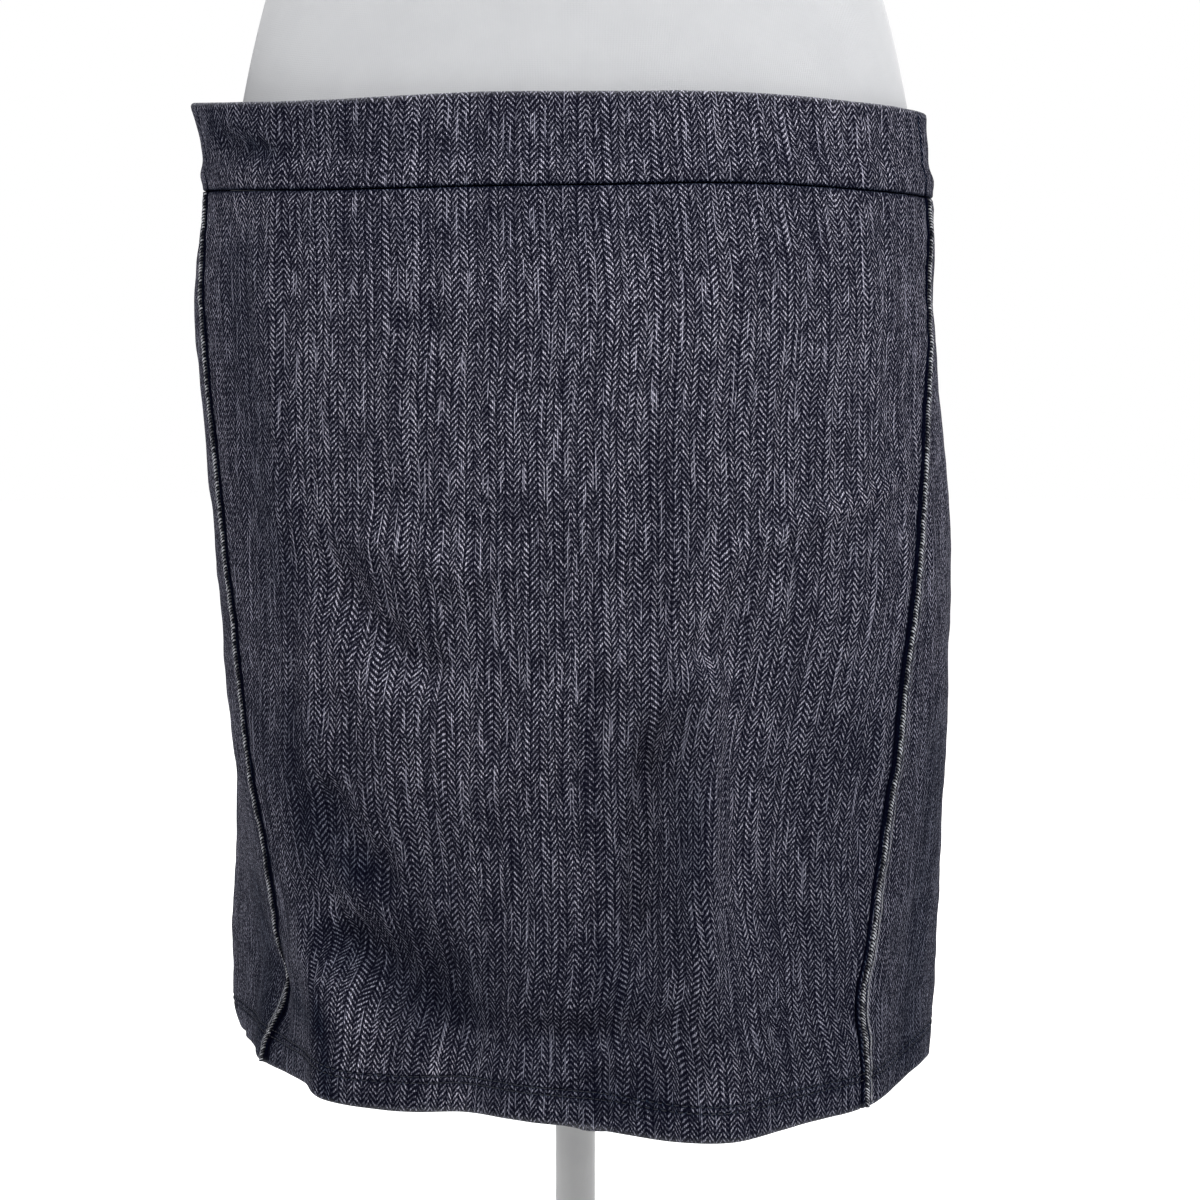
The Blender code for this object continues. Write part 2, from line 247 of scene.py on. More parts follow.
def folds(*rows: tuple) -> tuple[Crease, ...]:
    """Creases from rows of their values, in the order of a crease's fields."""
    return tuple(Crease(*row) for row in rows)


@dataclass(frozen=True)
class Unevenness:
    """Small random waves all over the cloth: a sum of cosines in angle and height."""
    seed: int
    size: float
    shortest: float
    longest: float
    waves: int = 40

    def at(self, angle: Array, height: Array) -> Array:
        """Outward push at some places.

        Each wave is cos(m * angle + k * height + phase) with a whole number m, so that
        the waves meet round the body.

        Args:
            angle: Angles round the body.
            height: Heights, of the same shape.

        Returns:
            Pushes in metres.
        """
        draw = np.random.default_rng(self.seed)
        length = draw.uniform(self.shortest, self.longest, self.waves)
        heading = draw.uniform(0, 2 * np.pi, self.waves)
        phase = draw.uniform(0, 2 * np.pi, self.waves)
        turns = np.round(2 * np.pi * UNROLL_RADIUS / length * np.cos(heading))
        rise = 2 * np.pi / length * np.sin(heading)
        total = np.zeros(np.shape(angle))
        for m, k, p in zip(turns, rise, phase):
            total = total + np.cos(m * np.radians(angle) + k * height + p)
        return self.size * total * np.sqrt(2 / self.waves)


class SeamRow(NamedTuple):
    """Angles of the two side seams at a height."""
    height: float
    left: float
    right: float


class EdgeWave(NamedTuple):
    """Place where an edge of the cloth is carried up or down."""
    angle: float
    spread: float
    rise: float


def carried(waves: tuple[EdgeWave, ...], angle: Array) -> Array:
    """Sum of an edge's waves: rise exp(-(turn / spread)^2) each.

    Args:
        waves: The edge's waves.
        angle: Angles round the body.

    Returns:
        Rise of the edge at the angles.
    """
    return sum(wave.rise * np.exp(-(turn_to(wave.angle, angle) / wave.spread) ** 2) for wave in waves)


@dataclass(frozen=True)
class SkirtSkin:
    """Outer face of the skirt's cloth, with its edges and seams."""
    hem_height: float = 0.1465
    band_seam_height: float = 0.5813
    band_seam_tilt: float = 0.0025
    band_top_height: float = 0.6248
    band_top_tilt: float = 0.0040
    rings: Rings = Rings((
        Section(0.150, 0.1790, 0.1795, 0.138, 0.129, 2.35),
        Section(0.225, 0.1750, 0.1833, 0.134, 0.130, 2.35),
        Section(0.285, 0.1740, 0.1852, 0.132, 0.131, 2.30),
        Section(0.345, 0.1745, 0.1865, 0.132, 0.133, 2.25),
        Section(0.405, 0.1790, 0.1875, 0.134, 0.139, 2.20),
        Section(0.465, 0.1835, 0.1830, 0.134, 0.143, 2.20),
        Section(0.525, 0.1880, 0.1780, 0.129, 0.139, 2.20),
        Section(0.585, 0.1838, 0.1771, 0.118, 0.125, 2.20),
        Section(0.606, 0.1851, 0.1746, 0.114, 0.121, 2.20),
        Section(0.631, 0.1910, 0.1729, 0.110, 0.117, 2.20),
    ))
    seams: tuple[SeamRow, ...] = (
        SeamRow(0.145, -79.5, 54.6),
        SeamRow(0.172, -77.0, 54.0),
        SeamRow(0.196, -74.0, 52.8),
        SeamRow(0.225, -70.0, 55.4),
        SeamRow(0.260, -68.0, 57.6),
        SeamRow(0.300, -69.8, 60.2),
        SeamRow(0.350, -70.6, 62.9),
        SeamRow(0.400, -72.4, 65.8),
        SeamRow(0.465, -75.0, 70.2),
        SeamRow(0.525, -76.6, 76.6),
        SeamRow(0.585, -80.4, 77.4),
        SeamRow(0.632, -81.5, 77.5),
    )
    hem_waves: tuple[EdgeWave, ...] = (
        EdgeWave(27.0, 26.0, -0.0065),
        EdgeWave(80.0, 20.0, 0.0070),
        EdgeWave(66.0, 15.0, -0.0042),
        EdgeWave(-41.0, 13.0, -0.0042),
        EdgeWave(-56.0, 14.0, 0.0040),
        EdgeWave(-88.0, 22.0, 0.0054),
        EdgeWave(-106.0, 10.0, 0.0020),
    )
    seam_waves: tuple[EdgeWave, ...] = (EdgeWave(-52.0, 32.0, -0.0030), EdgeWave(38.0, 28.0, 0.0030))
    top_waves: tuple[EdgeWave, ...] = (EdgeWave(-60.0, 32.0, -0.0060), EdgeWave(36.0, 26.0, 0.0030))
    creases: tuple[Crease, ...] = folds(
        ("left_side_trough", (-76, 0.36), (-77, 0.2), (-74, 0.08), 0.074, -0.03, 0.75, 0.05),
        ("left_seam_dimple", (-75, 0.225), (-75, 0.19), (-75, 0.16), 0.018, -0.006, 0.45, 0.45),
        ("left_hem_kick", (-82, 0.205), (-82, 0.15), (-83, 0.09), 0.026, 0.009, 0.5, 0.1),
        ("left_back_corner", (-112, 0.39), (-118, 0.22), (-118, 0.08), 0.042, 0.0275, 0.62, 0.05),
        ("left_front_trough", (-30, 0.37), (-33, 0.24), (-31, 0.08), 0.046, -0.0255, 0.75, 0.05),
        ("left_front_corner", (-55, 0.27), (-52, 0.2), (-50, 0.08), 0.017, 0.008, 0.45, 0.05),
        ("smile_trough", (-62, 0.268), (-46, 0.205), (-6, 0.196), 0.014, -0.0055, 0.3, 0.35),
        ("right_front_ridge", (20, 0.42), (22, 0.26), (23, 0.08), 0.036, 0.021, 0.75, 0.05),
        ("beside_ridge_trough", (7, 0.38), (9, 0.26), (6, 0.16), 0.02, -0.005, 0.35, 0.4),
        ("right_side_trough", (70, 0.34), (71, 0.22), (69, 0.08), 0.03, -0.009, 0.6, 0.05),
        ("back_left_trough", (-150, 0.38), (-152, 0.26), (-150, 0.08), 0.034, -0.011, 0.6, 0.05),
        ("back_right_ridge", (166, 0.36), (164, 0.24), (165, 0.08), 0.034, 0.008, 0.6, 0.05),
        ("back_right_trough", (138, 0.36), (137, 0.26), (139, 0.08), 0.03, -0.01, 0.6, 0.05),
        ("under_seat_crease", (-128, 0.385), (180, 0.352), (132, 0.372), 0.02, -0.0045, 0.35, 0.35),
    )
    wrinkles: tuple[Crease, ...] = folds(
        ("left_front_square", (-55.5, 0.599), (-53.5, 0.416), (-48.5, 0.197), 0.0261, 0.0026, 0.1, 0.25),
        ("right_front_square", (57.7, 0.599), (52.7, 0.414), (43.7, 0.2), 0.0245, 0.0022, 0.1, 0.25),
        ("left_corner_edge", (-59.8, 0.569), (-57.8, 0.486), (-49.8, 0.388), 0.0082, 0.0018, 0.25, 0.3),
        ("left_corner_low", (-49.8, 0.393), (-49.8, 0.339), (-48.8, 0.293), 0.0081, 0.0018, 0.3, 0.35),
        ("left_side_hollow", (-69.0, 0.562), (-64.0, 0.494), (-64.0, 0.338), 0.0141, -0.0021, 0.3, 0.3),
        ("hip_line", (-59.1, 0.47), (-53.1, 0.444), (-46.1, 0.417), 0.005, -0.0015, 0.3, 0.3),
        ("belly_hollow", (-49.5, 0.421), (-39.5, 0.361), (-21.5, 0.351), 0.0114, -0.0082, 0.25, 0.25),
        ("belly_ridge", (-42.1, 0.435), (-33.1, 0.392), (-3.1, 0.408), 0.0125, 0.0052, 0.3, 0.4),
        ("belly_bulge", (-33.0, 0.427), (-11.0, 0.445), (13.0, 0.434), 0.0261, 0.0023, 0.3, 0.3),
        ("thigh_ridge", (-49.3, 0.387), (-42.3, 0.348), (-25.3, 0.3), 0.0166, 0.0029, 0.35, 0.4),
        ("thigh_nick", (-46.0, 0.344), (-44.0, 0.339), (-41.0, 0.338), 0.005, -0.0015, 0.4, 0.4),
        ("thigh_hollow", (-50.5, 0.307), (-47.5, 0.268), (-33.5, 0.24), 0.011, -0.0068, 0.2, 0.4),
        ("knee_ridge", (-39.8, 0.271), (-35.8, 0.255), (-22.8, 0.23), 0.0103, 0.0019, 0.35, 0.35),
        ("corner_gutter", (-49.9, 0.293), (-52.9, 0.257), (-48.9, 0.228), 0.0061, -0.0034, 0.3, 0.3),
        ("smile_deep", (-51.3, 0.24), (-43.3, 0.178), (-3.3, 0.182), 0.0131, -0.0098, 0.12, 0.35),
        ("smile_tail", (-21.0, 0.187), (6.0, 0.183), (20.0, 0.194), 0.0088, -0.0066, 0.3, 0.2),
        ("hem_corner", (-48.3, 0.216), (-46.3, 0.185), (-47.3, 0.144), 0.0089, 0.003, 0.3, 0.2),
        ("hem_dip", (5.0, 0.177), (7.0, 0.166), (8.0, 0.145), 0.0216, -0.0046, 0.4, 0.1),
        ("hip_drag", (70.0, 0.452), (41.0, 0.424), (31.0, 0.413), 0.005, 0.0026, 0.2, 0.3),
        ("crotch_ridge", (32.0, 0.422), (27.0, 0.399), (18.0, 0.359), 0.006, 0.0042, 0.2, 0.25),
        ("crotch_hollow", (3.0, 0.409), (14.0, 0.381), (24.0, 0.379), 0.0167, -0.0031, 0.35, 0.3),
        ("low_drag", (10.1, 0.378), (-5.9, 0.328), (-19.9, 0.289), 0.0098, 0.003, 0.25, 0.3),
        ("low_drag_nick", (5.0, 0.357), (5.0, 0.348), (2.0, 0.341), 0.006, -0.0021, 0.4, 0.4),
        ("leg_ridge", (23.8, 0.368), (21.8, 0.329), (19.8, 0.166), 0.0117, 0.0139, 0.18, 0.2),
        ("leg_gutter", (18.1, 0.344), (13.1, 0.286), (14.1, 0.202), 0.011, -0.0162, 0.3, 0.25),
        ("ripple_1", (-37.0, 0.523), (-31.0, 0.518), (-23.0, 0.522), 0.0055, -0.0011, 0.4, 0.4),
        ("ripple_2", (-36.0, 0.481), (-28.0, 0.476), (-23.0, 0.482), 0.005, -0.001, 0.4, 0.4),
        ("ripple_3", (-35.0, 0.468), (-28.0, 0.464), (-23.0, 0.468), 0.0045, -0.001, 0.4, 0.4),
        ("ripple_4", (-35.0, 0.455), (-29.0, 0.451), (-23.0, 0.455), 0.0045, -0.0011, 0.4, 0.4),
        ("ripple_5", (-34.0, 0.441), (-29.0, 0.438), (-23.0, 0.442), 0.005, -0.0008, 0.4, 0.4),
        ("right_line_1", (23.0, 0.308), (33.0, 0.303), (42.0, 0.306), 0.005, -0.0009, 0.35, 0.35),
        ("right_line_2", (22.0, 0.247), (36.0, 0.238), (56.0, 0.239), 0.006, -0.0013, 0.35, 0.35),
        ("left_hem_round", (-98.0, 0.14), (-114.0, 0.14), (-140.0, 0.14), 0.016, -0.008, 0.15, 0.2),
        ("band_pinch", (-76.0, 0.608), (-67.0, 0.6), (-59.0, 0.599), 0.0045, -0.0028, 0.25, 0.35),
        ("band_pinch_lip", (-75.0, 0.616), (-66.0, 0.61), (-60.0, 0.607), 0.0055, 0.0016, 0.3, 0.35),
    )
    unevenness: tuple[Unevenness, ...] = (
        Unevenness(11, 0.00030, 0.030, 0.070),
        Unevenness(12, 0.00012, 0.012, 0.026),
    )

    def radius(self, angle: Array, height: Array) -> Array:
        """Distance of the cloth's outer face from the axis: ring, creases and small waves.

        Args:
            angle: Angles round the body.
            height: Heights, of the same shape.

        Returns:
            Distances in metres.
        """
        total = self.rings.radius(angle, height)
        for crease in self.creases + self.wrinkles:
            total = total + crease.push_at(angle, height)
        for waves in self.unevenness:
            total = total + waves.at(angle, height)
        return total

    def point(self, angle: Array, height: Array) -> Array:
        """Points of the outer face: (r sin a, -r cos a, height).

        Args:
            angle: Angles round the body.
            height: Heights, of the same shape.

        Returns:
            Points, with their three coordinates last.
        """
        return round_axis(self.radius(angle, height), np.radians(angle), height)

    def point_and_normal(self, angle: Array, height: Array) -> tuple[Array, Array]:
        """Points of the outer face and its outward direction there.

        The direction is the cross product of small steps round the body and upwards.

        Args:
            angle: Angles round the body.
            height: Heights, of the same shape.

        Returns:
            Points and unit normals.
        """
        step = 0.0004
        here = self.point(angle, height)
        round_step = self.point(angle + unroll(step), height) - here
        up_step = self.point(angle, height + step) - here
        normal = np.cross(round_step, up_step)
        return here, normal / np.linalg.norm(normal, axis=-1, keepdims=True)

    def hem_edge(self, angle: Array) -> Array:
        """Height of the hem's fold, with its waves."""
        return self.hem_height + carried(self.hem_waves, angle)

    def band_seam(self, angle: Array) -> Array:
        """Height of the seam under the waistband."""
        tilt = self.band_seam_tilt * np.sin(np.radians(angle))
        return self.band_seam_height - tilt + carried(self.seam_waves, angle)

    def band_top(self, angle: Array) -> Array:
        """Height of the waistband's folded top edge."""
        tilt = self.band_top_tilt * np.sin(np.radians(angle))
        return self.band_top_height - tilt + carried(self.top_waves, angle)

    def seam_angle(self, side: Side, height: Array) -> Array:
        """Angle of a side seam at a height."""
        levels = np.array([row.height for row in self.seams])
        return table_curve(levels, np.array([getattr(row, side.value) for row in self.seams]), height)


@dataclass(frozen=True)
class WashAndPaintedShade:
    """How far the dye is washed out of the denim, with painted shade and painted highlight: lighter on
    ridges, darker in hollows and low down.

    full is the lightness where nothing adds to it, deepest that of the deep dye, and the height factors are
    those of a cubic in (height - middle_height) / height_span, painted shade that darkens the cloth towards
    the hem.

    Each stroke is a path like a crease's, whose push is the change in the logarithm of the cloth's lightness.
    The strokes are painted shade and painted highlight over the folds, the seams and the waistband.
    """
    full: float = 0.80
    deepest: float = 0.106
    least: float = 0.04
    middle_height: float = 0.38
    height_span: float = 0.24
    # painted shade: this cubic darkens the cloth towards the hem
    shade_by_height: tuple[float, ...] = (0.057, 0.307, -0.169, -0.141)
    # partly deeper dye by the side seams and partly painted shade where the cloth turns away from the light
    by_seam: Bump = Bump(-0.15, 0.0, 0.045)
    # painted shade and painted highlight along the folds, the seams and the waistband
    painted_light_strokes: tuple[Crease, ...] = folds(
        ("left_strip", (-65.6, 0.569), (-61.3, 0.488), (-54.8, 0.345), 0.019, -0.52, 0.1, 0.25),
        ("left_strip_low", (-55.8, 0.359), (-55.7, 0.292), (-52.9, 0.244), 0.011, -0.5, 0.25, 0.3),
        ("corner_shine", (-56.9, 0.573), (-53.2, 0.464), (-49.2, 0.388), 0.007, 0.11, 0.15, 0.2),
        ("belly_wedge_deep", (-49.1, 0.419), (-44.2, 0.372), (-22.4, 0.351), 0.008, -0.05, 0.2, 0.25),
        ("belly_wedge_upper", (-48.1, 0.426), (-48.3, 0.421), (-29.8, 0.39), 0.006, -0.23, 0.3, 0.3),
        ("thigh_lit", (-48.6, 0.395), (-47.9, 0.35), (-25.6, 0.31), 0.017, 0.38, 0.25, 0.3),
        ("thigh_front_lit", (-38.0, 0.332), (-20.0, 0.322), (3.0, 0.32), 0.02, 0.58, 0.15, 0.25),
        ("left_front_edge_dark", (-67.0, 0.345), (-64.0, 0.32), (-60.0, 0.285), 0.01, -0.3, 0.25, 0.25),
        ("knee_nick_dark", (-49.0, 0.27), (-47.0, 0.26), (-44.0, 0.252), 0.009, -0.4, 0.3, 0.3),
        ("front_knee_lit", (-25.0, 0.266), (-19.0, 0.262), (-13.0, 0.26), 0.01, 0.25, 0.3, 0.3),
        ("leg_hem_lit", (25.0, 0.185), (26.0, 0.168), (27.0, 0.146), 0.012, 0.24, 0.3, 0.1),
        ("band_left_wide", (-80.0, 0.612), (-60.0, 0.612), (-33.0, 0.612), 0.016, -0.18, 0.05, 0.3),
        ("upper_right_lit", (-2.0, 0.53), (15.0, 0.53), (36.0, 0.53), 0.03, 0.14, 0.25, 0.25),
        ("belly_low_lit", (-30.0, 0.455), (-6.0, 0.45), (16.0, 0.446), 0.018, 0.16, 0.25, 0.25),
        ("hip_edge_lit", (-49.5, 0.415), (-46.0, 0.395), (-44.0, 0.375), 0.008, 0.25, 0.3, 0.3),
        ("left_side_low", (-83.0, 0.262), (-85.0, 0.205), (-86.0, 0.145), 0.02, -0.6, 0.3, 0.05),
        ("right_side_low", (77.0, 0.36), (75.0, 0.25), (73.0, 0.145), 0.018, -0.5, 0.25, 0.05),
        ("leg_low_dark", (4.0, 0.24), (8.0, 0.215), (11.0, 0.188), 0.012, -0.34, 0.3, 0.3),
        ("hem_left_lit", (-36.0, 0.172), (-31.0, 0.16), (-24.0, 0.148), 0.012, 0.55, 0.2, 0.1),
        ("leg_front_lit", (-6.0, 0.275), (-1.0, 0.262), (8.0, 0.258), 0.015, 0.24, 0.3, 0.3),
        ("band_right_lit", (10.0, 0.612), (40.0, 0.61), (74.0, 0.606), 0.016, 0.2, 0.25, 0.05),
        ("belly_arch_lit", (-44.0, 0.434), (-33.8, 0.404), (-3.0, 0.409), 0.009, 0.25, 0.25, 0.35),
        ("thigh_nick_deep", (-44.9, 0.347), (-43.3, 0.343), (-40.5, 0.342), 0.005, -0.5, 0.4, 0.4),
        ("thigh_hollow_deep", (-49.9, 0.307), (-51.8, 0.267), (-37.1, 0.244), 0.011, -0.42, 0.2, 0.3),
        ("knee_deep", (-46.5, 0.269), (-41.9, 0.25), (-30.2, 0.232), 0.009, -0.19, 0.3, 0.3),
        ("smile_dark", (-51.0, 0.242), (-51.4, 0.19), (-12.1, 0.188), 0.011, -0.58, 0.15, 0.25),
        ("smile_dark_wide", (-48.5, 0.231), (-35.1, 0.213), (-11.4, 0.21), 0.014, -0.34, 0.3, 0.3),
        ("smile_dark_right", (-17.5, 0.186), (9.4, 0.179), (18.8, 0.194), 0.007, -0.2, 0.2, 0.1),
        ("hem_corner_lit", (-50.6, 0.217), (-42.9, 0.192), (-45.1, 0.149), 0.01, 0.52, 0.25, 0.2),
        ("hem_dark", (-3.0, 0.155), (9.0, 0.164), (19.0, 0.159), 0.012, -0.32, 0.3, 0.2),
        ("left_low_dark", (-75.9, 0.192), (-51.5, 0.188), (-49.6, 0.178), 0.007, -0.5, 0.3, 0.3),
        ("hem_gutter_dark", (-53.5, 0.206), (-50.5, 0.176), (-50.0, 0.145), 0.0036, -0.85, 0.25, 0.05),
        ("crotch_triangle", (8.9, 0.409), (14.8, 0.4), (24.0, 0.427), 0.014, -0.09, 0.3, 0.3),
        ("crotch_triangle_left", (-3.0, 0.409), (4.9, 0.391), (13.1, 0.39), 0.012, 0.06, 0.3, 0.3),
        ("crotch_line_lit", (32.1, 0.423), (25.3, 0.397), (19.2, 0.366), 0.0055, 0.45, 0.2, 0.2),
        ("hip_line_lit", (69.9, 0.452), (39.9, 0.423), (31.9, 0.418), 0.0032, 0.32, 0.2, 0.2),
        ("low_drag_lit", (13.1, 0.385), (-5.8, 0.336), (-19.6, 0.291), 0.009, 0.28, 0.25, 0.25),
        ("low_drag_spot", (4.9, 0.357), (4.2, 0.347), (2.6, 0.342), 0.006, -0.44, 0.4, 0.4),
        ("leg_dark", (21.9, 0.358), (19.1, 0.317), (17.4, 0.203), 0.009, -0.22, 0.2, 0.2),
        ("leg_edge_darkest", (21.1, 0.318), (19.9, 0.282), (19.0, 0.245), 0.005, -0.29, 0.3, 0.3),
        ("right_thigh_lit", (29.6, 0.409), (31.9, 0.308), (27.6, 0.201), 0.018, 0.12, 0.25, 0.25),
        ("ripple_dark_1", (-36.6, 0.523), (-31.6, 0.518), (-22.8, 0.522), 0.005, -0.39, 0.4, 0.4),
        ("ripple_lit_2", (-33.1, 0.471), (-29.4, 0.466), (-26.1, 0.453), 0.006, 0.16, 0.4, 0.4),
        ("right_line_dark_1", (21.4, 0.31), (33.8, 0.302), (42.1, 0.306), 0.004, -0.16, 0.35, 0.35),
        ("right_line_dark_2", (20.1, 0.249), (37.8, 0.237), (55.4, 0.239), 0.005, -0.12, 0.35, 0.35),
        ("right_patch_dark", (51.0, 0.346), (53.1, 0.319), (53.9, 0.293), 0.013, -0.18, 0.35, 0.35),
        ("band_left_dark", (-77.4, 0.617), (-69.9, 0.604), (-63.2, 0.596), 0.011, -0.42, 0.1, 0.45),
        ("band_pinch_dark", (-68.8, 0.605), (-64.3, 0.601), (-57.6, 0.592), 0.006, -0.8, 0.3, 0.4),
        ("under_band_dark", (-58.6, 0.565), (-21.6, 0.564), (37.9, 0.564), 0.009, -0.22, 0.1, 0.15),
        ("band_ridge_lit", (-57.4, 0.59), (-9.6, 0.59), (63.0, 0.588), 0.004, 0.07, 0.1, 0.1),
        ("band_middle_dark", (-56.1, 0.604), (-10.8, 0.597), (64.1, 0.599), 0.007, -0.15, 0.1, 0.1),
        ("under_seam_lit", (-56.0, 0.575), (-9.4, 0.576), (61.8, 0.573), 0.0025, 0.05, 0.1, 0.1),
    )

    def at(self, points: Array, gap: Array, recess_shade: Array) -> Array:
        """The fade, with its painted shade and painted highlight, at some points of the cloth, from 0 in a
        seam's recess to 1.

        The logarithm of the lightness is a cubic in height, painted shade that darkens towards the hem, plus
        a dip by the side seams, partly deeper dye and partly painted shade, plus the strokes of painted shade
        and painted highlight.

        Args:
            points: Points of the cloth, with their three coordinates last.
            gap: Distance from the nearest side seam.
            recess_shade: How much painted shade darkens each point in a seam's recess, from 0 to 1.

        Returns:
            The fade.
        """
        angle, height = np.degrees(np.arctan2(points[..., 0], -points[..., 1])), points[..., 2]
        rise = (height - self.middle_height) / self.height_span
        total = sum(factor * rise ** power for power, factor in enumerate(self.shade_by_height))
        total = total + self.by_seam.at(gap)
        for stroke in self.painted_light_strokes:
            total = total + stroke.push_at(angle, height)
        share = (self.full * np.exp(total) - self.deepest) / (1 - self.deepest)
        return np.clip(share, self.least, 1) * (1 - recess_shade)


# ---------------------------------------------------------------- meshes

def grid_quads(rows: int, columns: int, closed: bool = False) -> Array:
    """Quads of a grid of points counted row by row.

    Quad (i, j) runs (i, j), (i, j + 1), (i + 1, j + 1), (i + 1, j), so it faces outward
    where the columns run towards rising angles and the rows run upwards.

    Args:
        rows: Number of rows of points.
        columns: Number of columns of points.
        closed: Whether the last column joins the first.

    Returns:
        Corner numbers, four to a quad.
    """
    i, j = np.mgrid[0:rows - 1, 0:columns if closed else columns - 1]
    k = (j + 1) % columns
    corners = [i * columns + j, i * columns + k, (i + 1) * columns + k, (i + 1) * columns + j]
    return np.stack(corners, axis=-1).reshape(-1, 4)


def linked(name: str, data: bpy.types.ID) -> bpy.types.Object:
    """New object in the scene, made of some data.

    Args:
        name: Name of the object.
        data: Mesh, light or camera.

    Returns:
        The object.
    """
    made = bpy.data.objects.new(name, data)
    bpy.context.scene.collection.objects.link(made)
    return made


def new_piece(name: str, points: Array, faces: list, material: bpy.types.Material,
              cloth: Optional[Array] = None, marks: Optional[dict[str, Array]] = None) -> bpy.types.Object:
    """Smooth object made of points and faces.

    Args:
        name: Name of the piece.
        points: Points, with their three coordinates last.
        faces: Corner numbers of each face.
        material: Finish of the whole piece.
        cloth: Place of each point on the flat cloth, in metres.
        marks: Numbers kept at each point for the finish to read.

    Returns:
        The new object, at the origin.
    """
    mesh = bpy.data.meshes.new(name)
    mesh.from_pydata(points.reshape(-1, 3).tolist(), [], faces)
    mesh.polygons.foreach_set("use_smooth", np.ones(len(mesh.polygons), dtype=bool))
    mesh.materials.append(material)
    if cloth is not None:
        corner = np.empty(len(mesh.loops), dtype=np.int32)
        mesh.loops.foreach_get("vertex_index", corner)
        layer = mesh.uv_layers.new(name=CLOTH_MAP)
        layer.data.foreach_set("uv", cloth.reshape(-1, 2)[corner].astype(np.float32).ravel())
    for key, values in (marks or {}).items():
        mark = mesh.attributes.new(name=key, type="FLOAT", domain="POINT")
        mark.data.foreach_set("value", values.astype(np.float32).ravel())
    mesh.update()
    return linked(name, mesh)


def enter(piece: bpy.types.Object, slot: str, *nodes: str) -> bpy.types.Object:
    """Ride a piece on the body, hide the nodes that it stands for, and log them with it.

    Args:
        piece: The piece.
        slot: The record's material slot; not used.
        nodes: Nodes that the piece stands for.

    Returns:
        The same piece.
    """
    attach(piece, BODY)
    if nodes:
        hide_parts(*nodes)
    faces = len(piece.data.polygons)
    LOG.info("%s: %d faces, stands for %s", piece.name, faces, ", ".join(nodes) or "nothing")
    return piece


class Laid(NamedTuple):
    """Grid of a cloth piece laid over the skin.

    It holds its points, their places on the flat cloth, and how far they lie from the
    nearest side seam, above the low edge and below the high edge.
    """
    points: Array
    cloth: Array
    side_gap: Array
    above: Array
    below: Array


def new_sheet(name: str, laid: Laid, material: bpy.types.Material, thickness: float,
              marks: dict[str, Array]) -> bpy.types.Object:
    """Cloth piece made of a laid grid, with its thickness on the side away from its face.

    Args:
        name: Name of the piece.
        laid: The grid.
        material: Finish of the whole piece.
        thickness: Thickness of the cloth.
        marks: Numbers kept at each point for the finish to read.

    Returns:
        The new sheet.
    """
    rows, columns = laid.points.shape[:2]
    piece = new_piece(name, laid.points, grid_quads(rows, columns).tolist(), material, laid.cloth, marks)
    solid = piece.modifiers.new("Wall", "SOLIDIFY")
    solid.thickness = thickness
    solid.offset = -1
    solid.use_even_offset = False
    return piece


def fan(ring: Array, centre: int, upwards: bool) -> list:
    """Triangles from a ring of points to a centre point.

    Args:
        ring: Point numbers round the ring, towards rising angles.
        centre: Number of the centre point.
        upwards: Whether the triangles face up.

    Returns:
        The triangles.
    """
    following = np.roll(ring, -1)
    pair = (ring, following) if upwards else (following, ring)
    return np.stack([*pair, np.full(len(ring), centre)], axis=-1).tolist()


def capped(rings: Array, bottom: float, top: float) -> tuple[Array, list]:
    """Stack of rings, closed at both ends by triangles to a point on the axis.

    Args:
        rings: Points (rings, sides, 3) from the lowest ring up.
        bottom: Height of the lower end's middle.
        top: Height of the upper end's middle.

    Returns:
        Points and faces of the closed shape.
    """
    rows, sides = rings.shape[:2]
    points = np.concatenate([rings.reshape(-1, 3), [[0, 0, bottom], [0, 0, top]]])
    faces = grid_quads(rows, sides, closed=True).tolist()
    faces += fan(np.arange(sides), rows * sides, upwards=False)
    faces += fan((rows - 1) * sides + np.arange(sides), rows * sides + 1, upwards=True)
    return points, faces


def round_axis(radius: Array, turn: Array, height: Array) -> Array:
    """Points at distances from the axis: (r sin a, -r cos a, height), with a in radians."""
    radius, turn, height = np.broadcast_arrays(radius, turn, height)
    return np.stack([radius * np.sin(turn), -radius * np.cos(turn), height], axis=-1)


@dataclass(frozen=True)
class Lines:
    """Lines of a cloth piece's grid in one direction.

    A line lies share of the way from one edge to the other, moved by offset metres,
    and is sunk by depth metres under the skin.  keep is how much of the other
    direction's sinking holds on it.
    """
    share: Array
    offset: Array
    depth: Array
    keep: Array

    @staticmethod
    def joined(*parts: "Lines") -> "Lines":
        """Lines of several parts, one after another."""
        names = ("share", "offset", "depth", "keep")
        return Lines(*(np.concatenate([getattr(part, name) for part in parts]) for name in names))

    @staticmethod
    def part(share: Value, offset: Value, depth: Value, keep: Value) -> "Lines":
        """Lines from numbers and arrays, spread to the length of the longest."""
        return Lines(*(np.array(x, dtype=float) for x in np.broadcast_arrays(share, offset, depth, keep)))

    def backwards(self) -> "Lines":
        """The same lines in the other order."""
        return Lines(self.share[::-1], self.offset[::-1], self.depth[::-1], self.keep[::-1])


